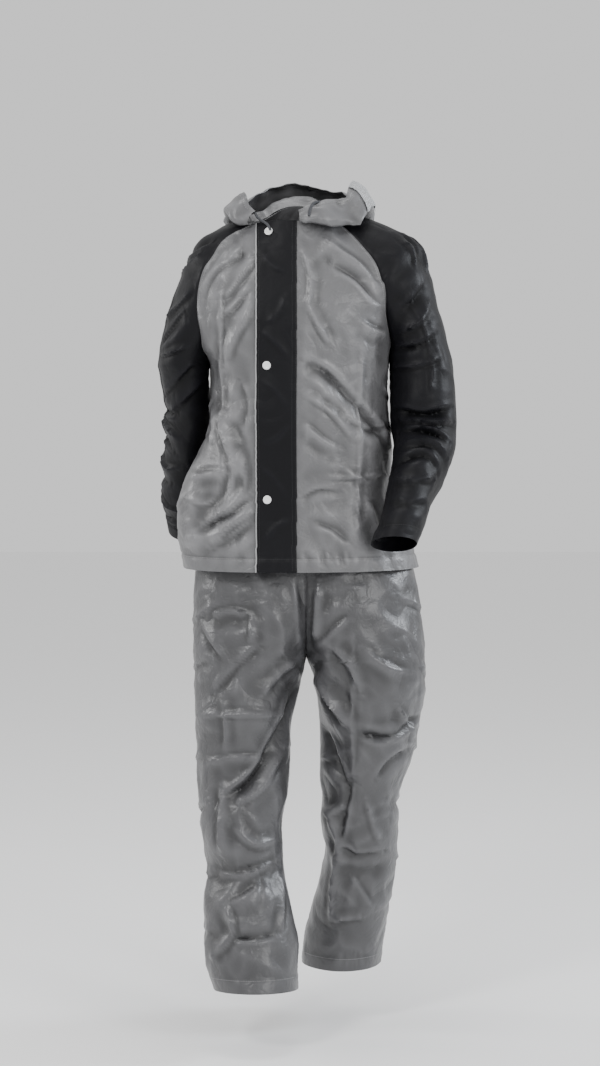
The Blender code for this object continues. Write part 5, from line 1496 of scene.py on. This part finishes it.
def hood_lift(alongs, parts, grid):
    """The hood's gathers, which run from the seam and the rim, and its crumples."""
    along, part = np.meshgrid(alongs, parts, indexing="xy")
    gather = np.sin(along * 96 + 3 * np.sin(along * 23)) * np.exp(-((part - 0.08) / 0.10) ** 2)
    rim = np.sin(along * 74 + 2.5 * np.sin(along * 31 + 1)) * np.exp(-((part - 0.95) / 0.12) ** 2)
    lift = 0.0012 * gather + 0.0014 * rim
    lift = lift + 0.0070 * crumple(grid, 0.045, 31) * ease(part / 0.15)
    lift = lift + 0.0028 * crumple(grid, 0.022, 33) * ease(part / 0.15)
    casing = ease((part - 0.905) / 0.02)
    return lift + 0.0010 * casing


def stud(name, place, facing, shader):
    """A press stud: a turned profile with a rolled rim and a dished middle."""
    profile = ((0.0, -0.5), (0.93, -0.5), (1.0, -0.15), (0.99, 0.12), (0.90, 0.42), (0.78, 0.5),
               (0.62, 0.40), (0.45, 0.22), (0.20, 0.16), (0.0, 0.16))
    count = 48
    turn = np.linspace(0, math.tau, count + 1)[:-1]
    across = np.cross(facing, (0.0, 0.0, 1.0))
    across = across / np.linalg.norm(across)
    upward = np.cross(across, facing)
    rings = []
    for radius, height in profile:
        radius = max(radius, 0.002) * SNAP_RADIUS
        circle = np.cos(turn)[:, None] * across + np.sin(turn)[:, None] * upward
        rings.append(place + radius * circle + height * SNAP_HEIGHT * facing)
    points = np.array(rings)
    number = np.arange(len(profile) * count).reshape(len(profile), count)
    after = np.roll(number, -1, axis=1)
    faces = np.stack((number[:-1], number[1:], after[1:], after[:-1]), -1).reshape(-1, 4)
    return mesh_object(name, points.reshape(-1, 3), faces, shader)


def smooth_route(route, count):
    """Points along a smooth curve through a route, evenly spaced, and its length."""
    route = np.array(route)
    steps = np.linalg.norm(np.diff(route, axis=0), axis=1)
    place = np.append(0, np.cumsum(steps))
    at = np.linspace(0, place[-1], count)
    points = np.stack([through(place, route[:, axis], at) for axis in range(3)], axis=-1)
    return points, float(np.linalg.norm(np.diff(points, axis=0), axis=1).sum())


def cord_piece(name, node_name, route, shader):
    """A free end of the drawcord."""
    points, length = smooth_route(route, 60)
    curve = bpy.data.curves.new(name, "CURVE")
    curve.dimensions = "3D"
    curve.bevel_depth = CORD_DIAMETER / 2
    curve.bevel_resolution = 6
    curve.use_fill_caps = True
    spline = curve.splines.new("POLY")
    spline.points.add(len(points) - 1)
    spline.points.foreach_set("co", np.hstack([points, np.ones((len(points), 1))]).ravel())
    curve.materials.append(shader)
    piece = bpy.data.objects.new(name, curve)
    bpy.context.scene.collection.objects.link(piece)
    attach(piece, "root")
    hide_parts(node_name)
    return piece


def place_camera():
    """The photo's view: 2738 px of focal length for a picture 1066 px high."""
    camera = bpy.data.cameras.new("camera")
    camera.sensor_width = 36.0
    camera.lens = 36.0 * 2738 / 1066
    camera.clip_end = 50.0
    holder = bpy.data.objects.new("camera", camera)
    holder.location = (-0.009, -5.0, -0.249)
    holder.rotation_euler = (math.radians(90 - 3.81), 0.0, 0.0)
    bpy.context.scene.collection.objects.link(holder)
    bpy.context.scene.camera = holder


def soft_light(name, place, aim, size, power, colour=(1.0, 1.0, 1.0)):
    """A square soft box that faces its aim."""
    data = bpy.data.lights.new(name, "AREA")
    data.shape = "SQUARE"
    data.size = size
    data.energy = power
    data.color = colour
    lamp = bpy.data.objects.new(name, data)
    way = np.array(aim) - np.array(place)
    lamp.location = place
    flat = math.hypot(way[0], way[1])
    lamp.rotation_euler = (math.atan2(flat, -way[2]), 0.0, math.atan2(-way[0], way[1]))
    bpy.context.scene.collection.objects.link(lamp)


def studio():
    """A pale floor, a white surrounding and soft boxes at both sides of the front."""
    world = bpy.data.worlds.new("studio")
    world.use_nodes = True
    world.node_tree.nodes["Background"].inputs["Color"].default_value = (1, 1, 1, 1)
    world.node_tree.nodes["Background"].inputs["Strength"].default_value = 0.9
    bpy.context.scene.world = world
    shader = plain_shader("floor", (0.92, 0.92, 0.92), 0.6)
    size = 12.0
    points = np.array([(-size, -size, -1.50), (size, -size, -1.50), (size, size, -1.50), (-size, size, -1.50)])
    floor = mesh_object("floor", points, np.array([[0, 1, 2, 3]]), shader, smooth=False)
    soft_light("key", (-1.9, -3.4, 2.1), (0, 0, -0.3), 0.8, 84)
    soft_light("fill", (2.4, -3.3, 0.7), (0, 0, -0.4), 1.0, 50)
    soft_light("edge_left", (3.0, 0.4, 0.6), (0, 0, -0.3), 0.8, 60, (0.88, 0.93, 1.0))
    soft_light("edge_right", (-3.2, 0.6, 0.4), (0, 0, -0.4), 0.8, 30)
    soft_light("top", (0.0, -0.4, 3.0), (0, 0, -0.3), 1.2, 40)


def build():
    """The whole suit."""
    grey = cloth_shader("grey_shell", SHELL_GREY, 0.40, 0.12, 1.0, 0.5)
    # The trousers' darker copy of the grey cloth: painted shade.
    trouser_shaded_grey = cloth_shader("trouser_shell_painted_shade", TROUSER_SHADED_GREY, 0.38, 0.12, 1.0, 0.5)
    black = cloth_shader("black_shell", SHELL_BLACK, 0.50, 0.0, 0.4, 0.17)
    film = plain_shader("visor_film", (0.40, 0.41, 0.42), 0.25, 110.0, 0.006, 0.94)
    white = plain_shader("stud", (0.80, 0.80, 0.80), 0.28)
    braid = plain_shader("cord", (0.040, 0.042, 0.048), 0.75, 900.0, 0.0006)
    elastic = plain_shader("waist_elastic", (0.16, 0.16, 0.165), 0.75, 400.0, 0.001)
    edge_grey = plain_shader("flap_edge", (0.300, 0.300, 0.305), 0.45)
    grey_thread = plain_shader("grey_thread", THREAD_GREY, 0.5)
    black_thread = plain_shader("black_thread", THREAD_BLACK, 0.5)

    plain, jacket, normals = jacket_surfaces()
    edges = {
        "front_right": (True, False, True),
        "front_left": (False, True, True),
        "jacket_back": (True, True, True),
        "sleeve_right": (True, True, True),
        "sleeve_left": (True, True, True),
    }
    for name, grid in jacket.items():
        sleeve = name.startswith("sleeve")
        shader = black if sleeve else grey
        tube = RAGLAN_ROWS if sleeve else None
        made = panel(name, plain[name], grid, normals[name], shader, edges[name], tube)
        rows = [row_path(grid, normals[name], HEM_DEPTH)]
        if not sleeve:
            if name == "jacket_back":
                for last in (True, False):
                    path = column_path(grid[:RAGLAN_ROWS], normals[name][:RAGLAN_ROWS], 0.005, last)
                    rows.append(path)
            else:
                last = name == "front_left"
                rows.append(column_path(grid[:RAGLAN_ROWS], normals[name][:RAGLAN_ROWS], 0.005, last))
        stitches = thread(name + "_stitches", rows, black_thread if sleeve else grey_thread)

    under_right = RIGHT_FRONT_COLUMNS[0] + 1
    under_left = LEFT_FRONT_COLUMNS[0]
    base = np.concatenate([jacket["front_right"][:, -under_right:], jacket["front_left"][:, 1:under_left + 1]], axis=1)
    normal = np.concatenate([normals["front_right"][:, -under_right:], normals["front_left"][:, 1:under_left + 1]], axis=1)
    normal = normal / np.linalg.norm(normal, axis=-1, keepdims=True)
    columns = base.shape[1]
    across = np.linspace(0, 1, columns)[None, :]
    height = base[..., 2]
    held = np.ones_like(height)
    for _, _, snap_z in SNAPS:
        held = held * (1 - np.exp(-((height - snap_z) / 0.05) ** 2))
    wave = 0.0009 + 0.0013 * (1 + np.sin(height * 47 + 1.5 * np.sin(height * 19))) * held
    free = wave * ease((0.30 - across) / 0.30)
    ripple = 0.0005 * np.sin(height / 0.0045 + 2 * np.sin(height / 0.04)) * np.exp(-((1 - across) / 0.10) ** 2)
    dents = 0.0012 * (crumple(base, 0.055, 41, (1.0, 1.0, 0.6)) + 0.5)
    folds = np.maximum(crease_lift(base[..., [0, 2]], 1.0, FLAP_CREASES), 0)
    middle = np.exp(-((across - 0.5) / 0.45) ** 4)
    base = base + normal * (LIFT + free + ripple + (dents + folds) * middle)[..., None]
    flap_out = base + FLAP_WALL * normal
    # Painted shade and highlight on the flap, from its dents and soft creases.
    flap = wall("front_flap_cloth", flap_out, base, black, fold=fold_shade((dents + folds) * middle))
    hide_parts("front_flap")
    rows = [column_path(flap_out, normal, inward, True) for inward in (0.002, 0.008)]
    rows += [column_path(flap_out, normal, 0.004, False), row_path(flap_out, normal, HEM_DEPTH)]
    flap_stitches = thread("front_flap_stitches", rows, black_thread)
    outward = flap_out[:, :1] - flap_out[:, 1:2]
    outward = outward / np.linalg.norm(outward, axis=-1, keepdims=True)
    strip = flap_out[:, :1] + outward * (0.0002 + EDGE_WIDTH * np.array([1.0, 0.75, 0.25, 0.0]))[:, None]
    rounding = np.array([0.0005, 0.0, 0.0, 0.0005])[None, :, None]
    edge = wall("front_flap_edge", strip - rounding * normal[:, :1], strip - FLAP_WALL * normal[:, :1], edge_grey)

    for name, x, z in SNAPS:
        row = int(np.argmin(np.abs(flap_out[:, columns // 2, 2] - z)))
        spot = int(np.argmin(np.abs(flap_out[row, :, 0] - x)))
        facing = normal[row, spot]
        reach = np.linalg.norm(flap_out - flap_out[row, spot], axis=-1) < SNAP_RADIUS
        proud = float(((flap_out[reach] - flap_out[row, spot]) @ facing).max())
        place = flap_out[row, spot] + facing * (SNAP_HEIGHT / 2 + 0.0002 + 0.6 * proud)
        piece = stud(name + "_stud", place, facing, white)
        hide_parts(name)

    alongs = np.linspace(0, 1, HOOD_COLUMNS + 1)
    parts = np.linspace(0, 1, HOOD_ROWS + 1)
    hood_plain = hood_grid(plain, alongs, parts)
    hood_normal = shared_normals([hood_plain])[0]
    lift = hood_lift(alongs, parts, hood_plain)
    hood_out = hood_plain + hood_normal * lift[..., None]
    # Painted shade and highlight on the hood, from its gathers and crumples.
    hood = wall("hood_cloth", hood_out, hood_out - WALL * hood_normal, grey, fold=fold_shade(lift))
    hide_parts("hood")
    casing = int(round(0.905 * HOOD_ROWS))
    rows = [(hood_out[casing], hood_normal[casing])]
    hood_stitches = thread("hood_stitches", rows, grey_thread)

    columns_kept = (alongs >= VISOR_ALONG[0]) & (alongs <= VISOR_ALONG[1])
    rows_kept = (parts >= VISOR_PART[0]) & (parts <= VISOR_PART[1])
    patch = hood_out[rows_kept][:, columns_kept]
    out = hood_normal[rows_kept][:, columns_kept]
    crinkles = 0.0016 * (crumple(patch, 0.016, 51) + 0.5) + 0.0012 * (crumple(patch, 0.030, 52) + 0.5)
    inner = patch + out * (LIFT + crinkles)[..., None]
    visor = wall("hood_visor_film", inner + FILM_WALL * out, inner, film)
    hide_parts("hood_visor")

    for side, route in (("right", CORD_RIGHT), ("left", CORD_LEFT)):
        cord_piece(f"drawcord_{side}_end", f"drawcord_{side}", route, braid)

    plain, legs, normals = trouser_surfaces()
    for name, grid in legs.items():
        made = panel(name, plain[name], grid, normals[name], trouser_shaded_grey, (True, True, False))
        rows = [row_path(grid, normals[name], HEM_DEPTH)]
        stitches = thread(name + "_stitches", rows, grey_thread)

    top = np.vstack([
        legs["trouser_front_right"][0],
        legs["trouser_front_left"][0][1:],
        legs["trouser_back_left"][0][1:],
        legs["trouser_back_right"][0][1:],
    ])
    centre = top.mean(axis=0)
    steps = np.linalg.norm(np.diff(top, axis=0), axis=1)
    around = np.append(0, np.cumsum(steps))
    gather = 0.0016 * np.sin(around / around[-1] * math.tau * 88)
    band = []
    for share in np.linspace(1, 0, 15):
        draw = 1.0 - 0.025 * share
        ring = centre + (top - centre) * np.array([draw, draw, 1.0])
        outward = (top - centre) * np.array([1.0, 1.0, 0.0])
        outward = outward / np.linalg.norm(outward, axis=-1, keepdims=True)
        lines = 0.0006 * math.sin(share * math.pi * 6)
        ring = ring + outward * (gather * (0.3 + 0.7 * ease(share / 0.2)) + lines)[:, None] * ease(share / 0.1)
        ring[:, 2] += share * WAISTBAND_HEIGHT + 2 * HALF_SEAM
        band.append(ring)
    band = np.array(band)
    inward = (centre - band) * np.array([1.0, 1.0, 0.0])
    inward = inward / np.linalg.norm(inward, axis=-1, keepdims=True)
    waist = wall("waistband_cloth", band, band + 1.5 * WALL * inward, elastic, ring=True)
    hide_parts("waistband")


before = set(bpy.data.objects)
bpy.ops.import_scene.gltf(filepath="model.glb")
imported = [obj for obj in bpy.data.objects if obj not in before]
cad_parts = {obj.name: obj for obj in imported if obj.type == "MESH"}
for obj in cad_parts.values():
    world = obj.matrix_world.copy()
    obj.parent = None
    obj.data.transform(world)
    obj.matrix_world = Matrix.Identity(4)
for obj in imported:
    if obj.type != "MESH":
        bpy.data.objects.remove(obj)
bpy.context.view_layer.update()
place_camera()
studio()
build()
